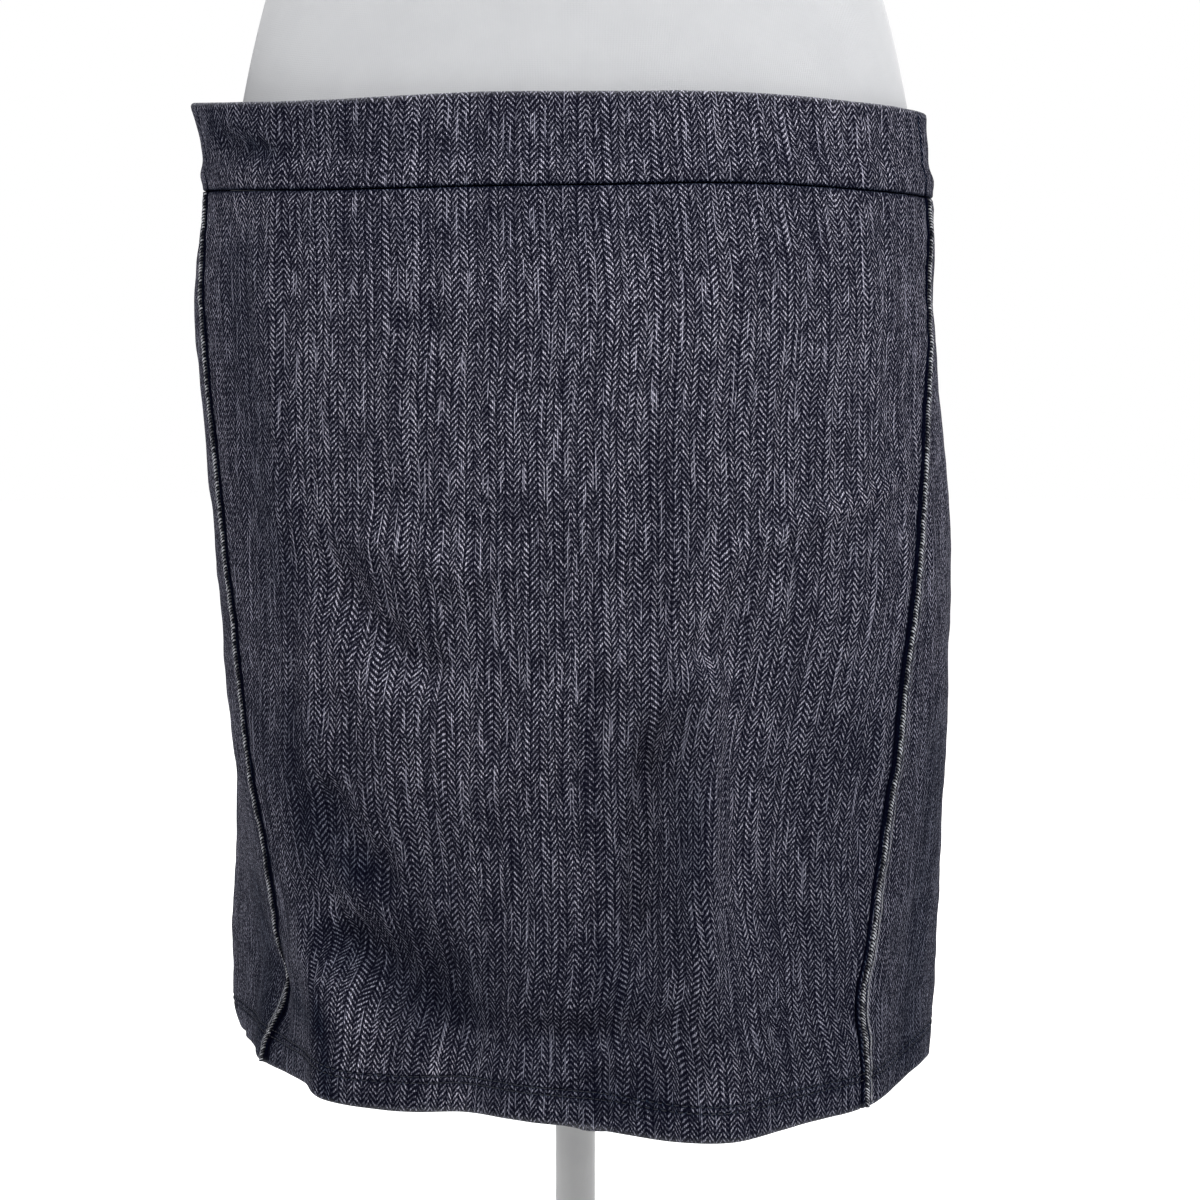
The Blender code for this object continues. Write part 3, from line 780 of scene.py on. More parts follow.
@dataclass(frozen=True)
class EdgeRoll:
    """Edge of a cloth piece that rolls over and turns in at a seam.

    The roll is a quarter of an ellipse, reach along the cloth and drop into it, and
    the seam allowance goes straight in from there.
    """
    reach: float
    drop: float
    allowance: float
    steps: int = 6

    def lines(self, share: float, inward: float) -> Lines:
        """Lines from the flat cloth to the allowance's raw edge.

        Args:
            share: Place of the edge, 0 or 1.
            inward: Direction along the lines from the edge into the piece, 1 or -1.

        Returns:
            Lines in that order, without the one where the cloth is still flat.
        """
        t = np.radians(np.linspace(0, 90, self.steps + 1)[1:])
        straight = np.linspace(0, 1, 3)[1:] if self.allowance else np.zeros(0)
        offset = np.concatenate([self.reach * (1 - np.sin(t)), 0 * straight])
        depth = np.concatenate([self.drop * (1 - np.cos(t)), self.drop + self.allowance * straight])
        return Lines.part(share, inward * offset, depth, 1.0)


def fold_under(radius: float, inner: Array, side: float) -> Lines:
    """Lines that go round a folded edge and along the inner layer.

    The fold is half a circle: its place is radius (1 - sin t) from the edge and its
    depth radius (1 - cos t), for t from 0 to 180 degrees.

    Args:
        radius: Radius of the cloth's face in the fold.
        inner: Distances from the fold of the inner layer's lines.
        side: 1 where the fold is at the low edge, -1 at the high edge.

    Returns:
        Lines from just past the outer layer to the inner layer's end.
    """
    t = np.radians(np.linspace(0, 180, 11)[1:])
    offset = np.concatenate([radius * (1 - np.sin(t)), inner])
    depth = np.concatenate([radius * (1 - np.cos(t)), np.full(len(inner), 2 * radius)])
    return Lines.part(0.0 if side > 0 else 1.0, side * offset, depth, 1.0)


Span = Callable[[Array], tuple[Array, Array]]
Relief = Callable[[Array, Array, Array], Array]


@dataclass(frozen=True)
class ClothPatch:
    """Piece of cloth over a patch of the skin, cut between two side edges, a low and a high edge."""
    skin: SkirtSkin
    span: Span
    low: Curve
    high: Curve
    columns: Lines
    rows: Lines
    middle: float
    grain_blend: float = 0.045

    def lay(self, relief: Relief) -> Laid:
        """Grid over the patch.

        A point is the skin's point at its angle and height, moved along the skin's
        normal by relief less its depth.  Angles and heights depend on each other, as the
        side edges swing and the hem waves, and settle in four turns.  The place on the
        flat cloth is the length along the row from the middle angle, blended over the
        rows near it to keep the grain straight, and the length along the column from
        the seam line at the top.

        Args:
            relief: Push from the gap to the nearest side edge, and the distances above
                the low edge and below the high edge.

        Returns:
            The grid, with its distances from the edges.
        """
        share, rise = self.columns.share[None, :], self.rows.share[:, None]
        shape = (len(self.rows.share), len(self.columns.share))
        height = np.full(shape, MID_HEIGHT)
        for _ in range(SETTLING_TURNS):
            first, last = self.span(height)
            angle = first + share * (last - first) + unroll(self.columns.offset)[None, :]
            low, high = self.low(angle), self.high(angle)
            height = low + rise * (high - low) + self.rows.offset[:, None]
        face, normal = self.skin.point_and_normal(angle, height)
        gap = np.radians(np.minimum(angle - first, last - angle)) * UNROLL_RADIUS
        above, below = height - low, high - height
        outer = self.rows.depth[:, None] < 1e-4
        depth = self.columns.depth[None, :] * self.rows.keep[:, None] + self.rows.depth[:, None]
        push = relief(gap, above, below) * outer - depth
        points = face + normal * push[..., None]
        across = np.linalg.norm(np.diff(points, axis=1), axis=-1)
        along = np.linalg.norm(np.diff(points, axis=0), axis=-1)
        u = np.concatenate([np.zeros((shape[0], 1)), np.cumsum(across, axis=1)], axis=1)
        v = np.concatenate([np.zeros((1, shape[1])), np.cumsum(along, axis=0)], axis=0)
        centre = int(np.argmin(np.abs(angle[shape[0] // 2] - self.middle)))
        reach = np.linalg.norm(face[:, centre, :2], axis=-1)
        u = u - u[:, centre:centre + 1] + (np.radians(angle[:, centre] - self.middle) * reach)[:, None]
        level = height.mean(axis=1)
        blend = np.exp(-((level[:, None] - level[None, :]) / self.grain_blend) ** 2)
        u = blend @ u / blend.sum(axis=1, keepdims=True)
        top = int(np.argmax(self.rows.share + self.rows.offset - self.rows.depth))
        v = v - v[top:top + 1]
        return Laid(points, np.stack([u, v], axis=-1), gap, above, below)


# ---------------------------------------------------------------- finishes

class Nodes:
    """Node tree of one material, with short ways to add and join its nodes."""

    def __init__(self, name: str, roughness: float) -> None:
        """Start a material.

        Args:
            name: Name of the material.
            roughness: Roughness of the whole surface.
        """
        self.material = bpy.data.materials.new(name)
        self.material.use_nodes = True
        self.tree = self.material.node_tree
        self.shader = self.tree.nodes["Principled BSDF"]
        self.shader.inputs["Roughness"].default_value = roughness

    def feed(self, socket: Socket, value: Value) -> None:
        """Join a value to a socket, or set the socket to a plain number.

        Args:
            socket: The socket.
            value: The value.
        """
        if isinstance(value, bpy.types.NodeSocket):
            self.tree.links.new(value, socket)
        else:
            socket.default_value = value

    def math(self, operation: str, *values: Value) -> Socket:
        """Result of a Math node.

        Args:
            operation: The node's operation.
            values: Its inputs, in order.

        Returns:
            The result.
        """
        node = self.tree.nodes.new("ShaderNodeMath")
        node.operation = operation
        for socket, value in zip(node.inputs, values):
            self.feed(socket, value)
        return node.outputs[0]

    def product(self, *values: Value) -> Socket:
        """Product of several values.

        Args:
            values: The values.

        Returns:
            Their product.
        """
        total = values[0]
        for value in values[1:]:
            total = self.math("MULTIPLY", total, value)
        return total

    def scaled(self, value: Value, factor: float, plus: Value = 0.0) -> Socket:
        """Value times factor, plus another value."""
        return self.math("MULTIPLY_ADD", value, factor, plus)

    def rise(self, value: Value, low: float, high: float, start: float = 0.0, end: float = 1.0) -> Socket:
        """Smooth step of a value from start to end.

        Args:
            value: The value.
            low: Value at which the step starts.
            high: Value at which it ends; below low, the step falls.
            start: Result before the step.
            end: Result after it.

        Returns:
            The result.
        """
        node = self.tree.nodes.new("ShaderNodeMapRange")
        node.interpolation_type = "SMOOTHSTEP"
        for key, number in (("From Min", low), ("From Max", high), ("To Min", start), ("To Max", end)):
            node.inputs[key].default_value = number
        self.feed(node.inputs["Value"], value)
        return node.outputs["Result"]

    def vector(self, x: Value, y: Value, z: Value = 0.0) -> Socket:
        """Vector of three values.

        Args:
            x: First value.
            y: Second value.
            z: Third value.

        Returns:
            The vector.
        """
        node = self.tree.nodes.new("ShaderNodeCombineXYZ")
        for socket, value in zip(node.inputs, (x, y, z)):
            self.feed(socket, value)
        return node.outputs[0]

    def split(self, vector: Socket) -> tuple[Socket, Socket, Socket]:
        """Three parts of a vector.

        Args:
            vector: The vector.

        Returns:
            Its x, y and z.
        """
        node = self.tree.nodes.new("ShaderNodeSeparateXYZ")
        self.feed(node.inputs[0], vector)
        return node.outputs[0], node.outputs[1], node.outputs[2]

    def noise(self, place: Socket, size: float, detail: float = 2.0) -> Socket:
        """Soft noise from 0 to 1.

        Args:
            place: Where it is read.
            size: Size of its patches, in the place's units.
            detail: Number of finer layers.

        Returns:
            The noise.
        """
        node = self.tree.nodes.new("ShaderNodeTexNoise")
        node.inputs["Scale"].default_value = 1 / size
        node.inputs["Detail"].default_value = detail
        self.feed(node.inputs["Vector"], place)
        return node.outputs["Fac"]

    def grain(self, x: Socket, wide: float, y: Socket, tall: float, detail: float,
              layer: float = 0.0) -> Socket:
        """Soft noise from 0 to 1 in drawn-out patches.

        Args:
            x: First coordinate.
            wide: Size of the patches along it.
            y: Second coordinate.
            tall: Size of the patches along that.
            detail: Number of finer layers.
            layer: Third coordinate, which tells one such noise from another.

        Returns:
            The noise.
        """
        return self.noise(self.vector(self.scaled(x, 1 / wide), self.scaled(y, 1 / tall), layer), 1.0, detail)

    def chance(self, x: Value, y: Value = 0.0, z: float = 0.0) -> Socket:
        """Random number from 0 to 1 that depends on one to three others.

        Args:
            x: First number.
            y: Second number.
            z: Third number.

        Returns:
            The random number, always the same for the same three.
        """
        node = self.tree.nodes.new("ShaderNodeTexWhiteNoise")
        node.noise_dimensions = "3D"
        self.feed(node.inputs["Vector"], self.vector(x, y, z))
        return node.outputs["Value"]

    def mixed(self, share: Value, first: Union[Socket, Colour], second: Union[Socket, Colour]) -> Socket:
        """Blend of two colours.

        Args:
            share: How much of the second there is.
            first: First colour.
            second: Second colour.

        Returns:
            The blend.
        """
        node = self.tree.nodes.new("ShaderNodeMix")
        node.data_type = "RGBA"
        self.feed(node.inputs["Factor"], share)
        for socket, colour in ((node.inputs[6], first), (node.inputs[7], second)):
            self.feed(socket, colour if isinstance(colour, bpy.types.NodeSocket) else (*colour, 1.0))
        return node.outputs[2]

    def mark(self, name: str) -> Socket:
        """Number kept at the piece's points.

        Args:
            name: Name that it is kept under.

        Returns:
            The number.
        """
        node = self.tree.nodes.new("ShaderNodeAttribute")
        node.attribute_name = name
        return node.outputs["Fac"]

    def cloth_place(self) -> tuple[Socket, Socket]:
        """Place on the flat cloth.

        Returns:
            Metres across the cloth and metres up it.
        """
        node = self.tree.nodes.new("ShaderNodeUVMap")
        node.uv_map = CLOTH_MAP
        across, up, _ = self.split(node.outputs[0])
        return across, up

    def object_place(self) -> Socket:
        """Place on the object, in metres."""
        return self.tree.nodes.new("ShaderNodeTexCoord").outputs["Object"]

    def emboss(self, height: Socket, depth: float) -> None:
        """Raise the surface by a height times depth.

        Args:
            height: Height, from 0 to about 1.
            depth: Metres that a height of 1 comes to.
        """
        node = self.tree.nodes.new("ShaderNodeBump")
        node.inputs["Strength"].default_value = 1.0
        node.inputs["Distance"].default_value = depth
        self.feed(node.inputs["Height"], height)
        self.feed(self.shader.inputs["Normal"], node.outputs[0])


@dataclass(frozen=True)
class HerringboneDenim:
    """Woven herringbone: pale warp floats over a near-black ground.

    The floats slant to and fro in one column after another, with a thin dark gap between columns.  They are
    washed pale where the fade mark is 1, keep the deep dye as it falls, and are black at 0; the mark carries
    painted shade and painted highlight as well as the wash.  Dim floats are bluer than bright ones.  A ramp
    is a low and a high end of a noise and the factors it becomes there.
    """
    name: str = "herringbone_denim"
    yarn_pitch: float = 0.00074
    column_yarns: int = 5
    twill_rise: float = 0.0028
    twill_slope: float = 1.36
    float_share: float = 0.42
    float_blur: float = 0.10
    float_floor: float = 0.03
    ground: Colour = (0.0012, 0.0014, 0.0080)
    deep: Colour = (0.036, 0.070, 0.130)
    dim: Colour = (0.745, 0.748, 0.998)
    warp: Colour = (0.885, 0.850, 0.990)
    worn: Colour = (0.780, 0.790, 0.840)
    crown: Ramp = (1.0, 0.20, 0.14, 1.0)
    edge_left: Ramp = (0.2, 0.9, 0.15, 1.0)
    edge_right: Ramp = (4.9, 4.3, 0.15, 1.0)
    streak: Ramp = (0.32, 0.70, 0.56, 1.52)
    fibre: Ramp = (0.36, 0.64, 0.10, 1.90)
    mottle: Ramp = (0.30, 0.70, 0.84, 1.17)
    cloud: Ramp = (0.30, 0.70, 0.91, 1.10)
    slub: Ramp = (0.635, 0.70, 0.0, 0.66)
    dye: Ramp = (0.0, 0.04, 0.08, 1.0)
    weft: Ramp = (0.30, 1.0, 0.0, 0.014)
    roughness: float = 0.90
    glossy: float = 0.03
    relief: float = 0.00025

    def weave(self, n: Nodes, u: Socket, v: Socket) -> tuple[Socket, Socket, Socket, Socket, Socket]:
        """Where each place of the cloth lies in the weave.

        Yarn k is floor(u / pitch), and a column is a fixed number of yarns.  The floats
        of a yarn come one to each twill_rise of height, and start a little higher, or in
        every second column a little lower, than its neighbour's.

        Args:
            n: Node tree.
            u: Place across the cloth.
            v: Place up it.

        Returns:
            Yarn's number, place across the yarn from 0 to 1, yarns from the column's
            edge, float's number, and place along the float from 0 to 1.
        """
        yarns = n.scaled(u, 1 / self.yarn_pitch)
        k, within = n.math("FLOOR", yarns), n.math("FRACT", yarns)
        column = n.math("FLOOR", n.scaled(k, 1 / self.column_yarns, 0.01))
        in_column = n.scaled(column, -self.column_yarns, yarns)
        way = n.scaled(n.math("FLOORED_MODULO", column, 2.0), -2.0, 1.0)
        climb = n.scaled(n.product(in_column, way), self.yarn_pitch * self.twill_slope, v)
        sag = n.scaled(n.noise(n.vector(u, v, 5.0), 0.014, 1.0), 0.9, n.scaled(n.chance(k, 3.0), 0.18))
        phase = n.scaled(climb, 1 / self.twill_rise, n.scaled(n.chance(column, 8.0), 1.0, sag))
        return k, within, in_column, n.math("FLOOR", phase), n.math("FRACT", phase)

    def build(self) -> bpy.types.Material:
        """Make the material.

        Yarns waver a little across the cloth.  Each yarn has a chance tone, and slow
        streaks and slubs along it; each float has a chance lightness; and fine fibres
        and broad mottling run through them all.

        Returns:
            The material.
        """
        n = Nodes(self.name, self.roughness)
        u, v = n.cloth_place()
        u = n.scaled(n.noise(n.vector(u, v), 0.030, 1.0), 0.0012, u)
        u = n.scaled(n.noise(n.vector(u, n.scaled(v, 0.12)), 0.0085, 0.0), 0.0028, u)
        k, within, in_column, step, along = self.weave(n, u, v)
        stops = self.float_share + self.float_blur, self.float_share - self.float_blur
        float_on = n.product(n.rise(along, 0.0, 0.16), n.rise(along, *stops))
        off = n.math("ABSOLUTE", n.scaled(within, 2.0, -1.0))
        crown = n.rise(off, *self.crown)
        edge = n.product(n.rise(in_column, *self.edge_left), n.rise(in_column, *self.edge_right))
        lightness = n.scaled(n.math("POWER", n.chance(k, step), 2.0), 1.10, 0.31)
        tone = n.scaled(n.math("POWER", n.chance(k, 1.0, 6.0), 2.0), 1.00, 0.62)
        streak = n.rise(n.grain(k, 1 / 7.31, v, 0.018, 2.0), *self.streak)
        fibre = n.rise(n.grain(u, 0.00040, v, 0.0009, 1.0), *self.fibre)
        mottle = n.rise(n.noise(n.vector(n.scaled(u, 1.7), v, 2.0), 0.009, 3.0), *self.mottle)
        cloud = n.rise(n.noise(n.vector(u, v, 9.0), 0.060, 2.0), *self.cloud)
        slub = n.rise(n.grain(k, 1 / 3.17, v, 0.030, 1.0, 4.0), *self.slub)
        lit = n.scaled(float_on, 1 - self.float_floor, self.float_floor)
        light = n.product(lit, crown, lightness, streak, tone, fibre, mottle, cloud, edge)
        light = n.math("ADD", light, n.product(slub, n.rise(off, 0.70, 0.30), n.scaled(float_on, 0.4, 0.6)))
        # the fade mark brings the wash together with the painted shade and painted highlight into the floats
        dye_and_shade = n.rise(n.mark("Fade"), *self.dye)
        light = n.product(n.math("MINIMUM", light, 1.0), dye_and_shade)
        weft = n.rise(n.chance(n.math("FLOOR", n.scaled(v, 1 / 0.0007)), k, 7.0), *self.weft)
        yarn = n.mixed(n.mark("Fade"), self.deep, n.mixed(light, self.dim, self.warp))
        colour = n.mixed(n.math("MAXIMUM", light, n.product(weft, dye_and_shade)), self.ground, yarn)
        fray = n.rise(n.grain(u, 0.0010, v, 0.0010, 3.0), 0.42, 0.62)
        worn = n.product(n.mark("Wear"), n.scaled(fray, 0.70, 0.30))
        n.feed(n.shader.inputs["Base Color"], n.mixed(worn, colour, self.worn))
        n.shader.inputs["Specular IOR Level"].default_value = self.glossy
        n.feed(n.shader.inputs["Roughness"], n.scaled(fibre, 0.06, self.roughness - 0.06))
        n.emboss(n.product(n.scaled(float_on, 0.7, 0.3), crown, n.scaled(fibre, 0.25, 0.75)), self.relief)
        return n.material


@dataclass(frozen=True)
class RopedStrip:
    """Narrow bias strip of the same denim: slanting light and dark specks."""
    name: str = "roped_denim_strip"
    pitch: float = 0.0015
    ground: Colour = (0.0050, 0.0058, 0.0120)
    speck: Colour = (0.760, 0.775, 0.830)
    middle: float = 0.00305
    half_width: float = 0.00115
    crown: Ramp = (1.05, 0.55, 0.12, 1.0)
    fibre: Ramp = (0.3, 0.7, 0.4, 1.5)
    patch: Ramp = (0.32, 0.68, 0.45, 1.45)
    roughness: float = 0.88
    glossy: float = 0.05
    relief: float = 0.00030

    def build(self) -> bpy.types.Material:
        """Make the material: slanting bands of lengthwise fibres, each with a chance lightness.

        Returns:
            The material.
        """
        n = Nodes(self.name, self.roughness)
        u, v = n.cloth_place()
        waver = n.scaled(n.noise(n.vector(u, v), 0.009, 1.0), 1.1)
        slant = n.scaled(n.scaled(u, 1.1, v), 1 / self.pitch, waver)
        step, along = n.math("FLOOR", slant), n.math("FRACT", slant)
        band = n.product(n.rise(along, 0.0, 0.20), n.rise(along, 0.66, 0.44))
        yarn = n.math("FLOOR", n.scaled(u, 1 / 0.00048))
        lightness = n.scaled(n.math("POWER", n.chance(yarn, step), 1.8), 3.4, 0.15)
        off = n.math("ABSOLUTE", n.scaled(u, 1 / self.half_width, -self.middle / self.half_width))
        fibre = n.rise(n.grain(u, 0.0003, v, 0.0008, 2.0), *self.fibre)
        patch = n.rise(n.noise(n.vector(u, v, 3.0), 0.010, 2.0), *self.patch)
        light = n.product(band, n.rise(off, *self.crown), lightness, fibre, patch)
        light = n.math("MINIMUM", light, 1.0)
        n.feed(n.shader.inputs["Base Color"], n.mixed(light, self.ground, self.speck))
        n.shader.inputs["Specular IOR Level"].default_value = self.glossy
        n.emboss(n.product(n.scaled(band, 0.6, 0.4), fibre), self.relief)
        return n.material


@dataclass(frozen=True)
class SewingThread:
    """Dark twisted sewing thread."""
    name: str = "dark_sewing_thread"
    colour: Colour = (0.010, 0.011, 0.020)
    lit: Colour = (0.040, 0.042, 0.060)
    lay: float = 0.00032
    roughness: float = 0.62
    relief: float = 0.00005

    def build(self) -> bpy.types.Material:
        """Make the material: strands that wind round the thread in slanting bands.

        Returns:
            The material.
        """
        n = Nodes(self.name, self.roughness)
        x, y, z = n.split(n.object_place())
        slant = n.math("FRACT", n.scaled(n.math("ADD", n.math("ADD", x, y), z), 1 / self.lay))
        strand = n.product(n.rise(slant, 0.0, 0.3), n.rise(slant, 1.0, 0.7))
        n.feed(n.shader.inputs["Base Color"], n.mixed(strand, self.colour, self.lit))
        n.emboss(strand, self.relief)
        return n.material


@dataclass(frozen=True)
class WhiteJersey:
    """Fine rib-knit cover of the form."""
    name: str = "white_jersey"
    colour: Colour = (0.665, 0.672, 0.690)
    shade: Colour = (0.592, 0.600, 0.622)
    rib: float = 0.0011
    stitch: float = 0.0009
    radius: float = 0.155
    roughness: float = 0.85
    glossy: float = 0.25
    sheen: float = 0.42
    relief: float = 0.00010

    def build(self) -> bpy.types.Material:
        """Make the material: upright ribs round the body, made of short stitches, with painted shade in the
        grooves between them, and a faint mottle.

        Returns:
            The material.
        """
        n = Nodes(self.name, self.roughness)
        place = n.object_place()
        x, y, z = n.split(place)
        turn = n.math("ARCTAN2", x, n.scaled(y, -1.0))
        rib = n.scaled(turn, self.radius / self.rib)
        across = n.math("ABSOLUTE", n.scaled(n.math("FRACT", rib), 2.0, -1.0))
        stitch = n.math("FRACT", n.scaled(z, 1 / self.stitch, n.scaled(across, 0.5)))
        loop = n.product(n.rise(stitch, 0.0, 0.35), n.rise(stitch, 1.0, 0.65))
        fuzz = n.noise(place, 0.0007, 2.0)
        mottle = n.rise(n.noise(place, 0.020, 3.0), 0.3, 0.7)
        height = n.scaled(across, -0.55, n.scaled(loop, 0.35, n.scaled(fuzz, 0.25)))
        # painted shade: darker in the grooves between ribs; the mottle is a random tone
        tone = n.math("ADD", n.scaled(mottle, 0.35), n.scaled(across, 0.45))
        n.feed(n.shader.inputs["Base Color"], n.mixed(tone, self.colour, self.shade))
        n.shader.inputs["Specular IOR Level"].default_value = self.glossy
        n.shader.inputs["Sheen Weight"].default_value = self.sheen
        n.emboss(height, self.relief)
        return n.material


@dataclass(frozen=True)
class SatinFinish:
    """Plain pale moulding or powder coat, with a faint orange peel and scuffs."""
    name: str
    colour: Colour
    scuffed: Colour
    roughness: float
    peel_size: float
    peel_depth: float

    def build(self) -> bpy.types.Material:
        """Make the material: fine even bumps, with broad patches slightly duller and darker.

        Returns:
            The material.
        """
        n = Nodes(self.name, self.roughness)
        place = n.object_place()
        peel = n.noise(place, self.peel_size, 1.0)
        scuff = n.rise(n.noise(place, 0.030, 4.0), 0.50, 0.75)
        n.feed(n.shader.inputs["Base Color"], n.mixed(scuff, self.colour, self.scuffed))
        n.feed(n.shader.inputs["Roughness"], n.scaled(scuff, 0.12, self.roughness))
        n.emboss(peel, self.peel_depth)
        return n.material


# ---------------------------------------------------------------- skirt

PANEL_CLEARANCE = 0.00015
STITCH_ROWS = (0.0140, 0.0171)


def half_span(skin: SkirtSkin, half: Half) -> Span:
    """Side edges of a half of the skirt.

    Args:
        skin: The skin.
        half: Which half.

    Returns:
        Function that gives the first and last angle at some heights.
    """
    gap = float(unroll(PANEL_CLEARANCE))

    def front(height: Array) -> tuple[Array, Array]:
        """Angles from the left seam to the right one."""
        return skin.seam_angle(Side.LEFT, height) + gap, skin.seam_angle(Side.RIGHT, height) - gap

    def back(height: Array) -> tuple[Array, Array]:
        """Angles from the right seam round the back to the left one."""
        return skin.seam_angle(Side.RIGHT, height) + gap, skin.seam_angle(Side.LEFT, height) + 360 - gap

    return front if half is Half.FRONT else back


def spread_columns(roll: EdgeRoll, fine: Array, count: int) -> Lines:
    """Columns of a piece between two rolled side edges.

    Args:
        roll: How the side edges roll.
        fine: Distances from the side edges of the closely spaced columns.
        count: Number of even strips between them.

    Returns:
        Lines from the first edge to the last.
    """
    reach = float(fine[-1])
    s = np.linspace(0, 1, count + 1)
    middle = Lines.part(s, reach * (1 - 2 * s), 0.0, 1.0)
    near = Lines.part(0.0, fine[:-1], 0.0, 1.0)
    far = Lines.part(1.0, -fine[:-1][::-1], 0.0, 1.0)
    first = roll.lines(0.0, 1.0).backwards()
    last = roll.lines(1.0, -1.0)
    return Lines.joined(first, near, middle, far, last)


@dataclass(frozen=True)
class Panels:
    """Front and back panels, each one sheet with its hem turned up inside."""
    skin: SkirtSkin
    material: bpy.types.Material
    wash_and_shade: WashAndPaintedShade = WashAndPaintedShade()
    cloth: float = 0.0012
    fold_radius: float = 0.00145
    turnup: float = 0.020
    front_roll: EdgeRoll = EdgeRoll(0.0020, 0.0030, 0.0030)
    back_roll: EdgeRoll = EdgeRoll(0.0018, 0.0022, 0.0040)
    top_roll: EdgeRoll = EdgeRoll(0.0011, 0.0020, 0.0020)
    front_strips: tuple[int, int] = (168, 158)
    back_strips: tuple[int, int] = (180, 112)
    seam_columns: tuple[float, ...] = (
        0.0, 0.0010, 0.0020, 0.0029, 0.0037, 0.0043, 0.0048, 0.0052, 0.0056, 0.0062,
    )
    hem_bumps: tuple[Bump, ...] = (
        Bump(-0.00065, STITCH_ROWS[0], 0.00055),
        Bump(-0.00065, STITCH_ROWS[1], 0.00055),
        Bump(0.00018, sum(STITCH_ROWS) / 2, 0.0011),
    )
    shoulder: tuple[Bump, Bump] = (Bump(0.00035, 0.0048, 0.0022), Bump(-0.000245, 0.0120, 0.0050))
    turnup_step: float = 0.00022
    pucker: float = 0.00030
    worn_hem: Bump = Bump(0.20, 0.0, 0.0016)
    worn_line: Bump = Bump(0.75, 0.0069, 0.0004)
    # painted shade in the groove behind each welt, in the band seam and under the stitch rows
    groove_shade: Bump = Bump(0.80, 0.0056, 0.0007)
    band_seam_shade: Bump = Bump(1.0, 0.0, 0.0013)
    stitch_row_shade: tuple[Bump, ...] = tuple(Bump(0.95, row, 0.0009) for row in STITCH_ROWS)

    def rows(self, count: int) -> Lines:
        """Rows from the turn-up's raw edge, round the fold and up to the band seam.

        Args:
            count: Number of even strips above the hem.

        Returns:
            The rows.
        """
        under = fold_under(self.fold_radius, np.linspace(0.0035, self.turnup, 7), 1.0)
        keep = 1 - 0.65 * under.depth / (2 * self.fold_radius)
        under = Lines(under.share, under.offset, under.depth, keep).backwards()
        hem = np.concatenate([
            self.fold_radius + np.array([0.0, 0.0006, 0.0016]),
            np.arange(0.0042, 0.0118, 0.0013),
            np.arange(0.0129, 0.0183, 0.00045),
            np.arange(0.0192, 0.0235, 0.0010),
        ])
        s = np.linspace(0, 1, count + 1)
        top = self.top_roll.reach
        outer = Lines.part(s, 0.0245 * (1 - s) - top * s, 0.0, 1.0)
        return Lines.joined(under, Lines.part(0.0, hem, 0.0, 1.0), outer, self.top_roll.lines(1.0, -1.0))

    def relief(self, gap: Array, above: Array, below: Array) -> Array:
        """Grooves under the hem's stitches, the turn-up's step and puckers by the seams.

        Args:
            gap: Distance from the nearest side seam.
            above: Distance above the hem's fold.
            below: Distance below the band seam.

        Returns:
            Push out of the skin.
        """
        hem = sum(bump.at(above) for bump in self.hem_bumps)
        shoulder = sum(bump.at(below) for bump in self.shoulder)
        step = 1 - smooth_step((above - self.turnup + 0.0012) / 0.0028)
        by_seam = np.exp(-(gap / 0.012) ** 2) * (1 - np.exp(-(gap / 0.0026) ** 2))
        pucker = np.cos(above / 0.0021 + 3 * np.sin(above * 61)) * by_seam
        return hem + shoulder + self.turnup_step * step + self.pucker * pucker

    def lay(self, half: Half) -> Laid:
        """Grid of one panel.

        Args:
            half: Which panel.

        Returns:
            The laid grid.
        """
        strips = self.front_strips if half is Half.FRONT else self.back_strips
        roll = self.front_roll if half is Half.FRONT else self.back_roll
        fine = roll.reach + np.array(self.seam_columns)
        patch = ClothPatch(
            self.skin, half_span(self.skin, half), self.skin.hem_edge,
            lambda angle: self.skin.band_seam(angle) - PANEL_CLEARANCE,
            spread_columns(roll, fine, strips[0]), self.rows(strips[1]),
            0.0 if half is Half.FRONT else 180.0,
        )
        return patch.lay(self.relief)

    def marks(self, half: Half, laid: Laid) -> dict[str, Array]:
        """How worn and how washed out a panel is, and where its seams have painted shade.

        The hem's fold is worn, and so is a line behind each welt, more so low down.  Painted shade darkens
        the seam recesses by the seams, in front of that line and under the stitch rows.  Low down the painted
        shade reaches less far from the right seam, and on the front panel further from the left one.

        Args:
            half: Which panel.
            laid: Its grid.

        Returns:
            Wear, and the fade with its painted shade, at the grid's points.
        """
        gap, behind = laid.side_gap, 1.0 if half is Half.BACK else 0.0
        low_down = smooth_step((0.330 - laid.points[..., 2]) / 0.12)
        line = behind * (0.25 + 0.75 * low_down) * self.worn_line.at(gap)
        by_side = np.where(laid.points[..., 0] > 0, 0.0009, -0.0019 * (1 - behind)) * low_down
        # painted shade in the seam recesses, reaching further low down on the front panel's left
        recess_shade = 1 - smooth_step((gap - 0.0016 + by_side) / 0.0008) + behind * self.groove_shade.at(gap)
        recess_shade = recess_shade + self.band_seam_shade.at(laid.below) + sum(row.at(laid.above) for row in self.stitch_row_shade)
        fade = self.wash_and_shade.at(laid.points, gap, np.clip(recess_shade, 0, 1))
        return {"Wear": np.maximum(line, self.worn_hem.at(laid.above)), "Fade": fade}

    def build(self, half: Half) -> bpy.types.Object:
        """Make one panel.

        Args:
            half: Which panel.

        Returns:
            The sheet.
        """
        laid = self.lay(half)
        marks = self.marks(half, laid)
        piece = new_sheet(f"{half.value}_panel_cloth", laid, self.material, self.cloth, marks)
        return enter(piece, "denim", f"{half.value}_panel", f"hem_turnup_{half.value}")


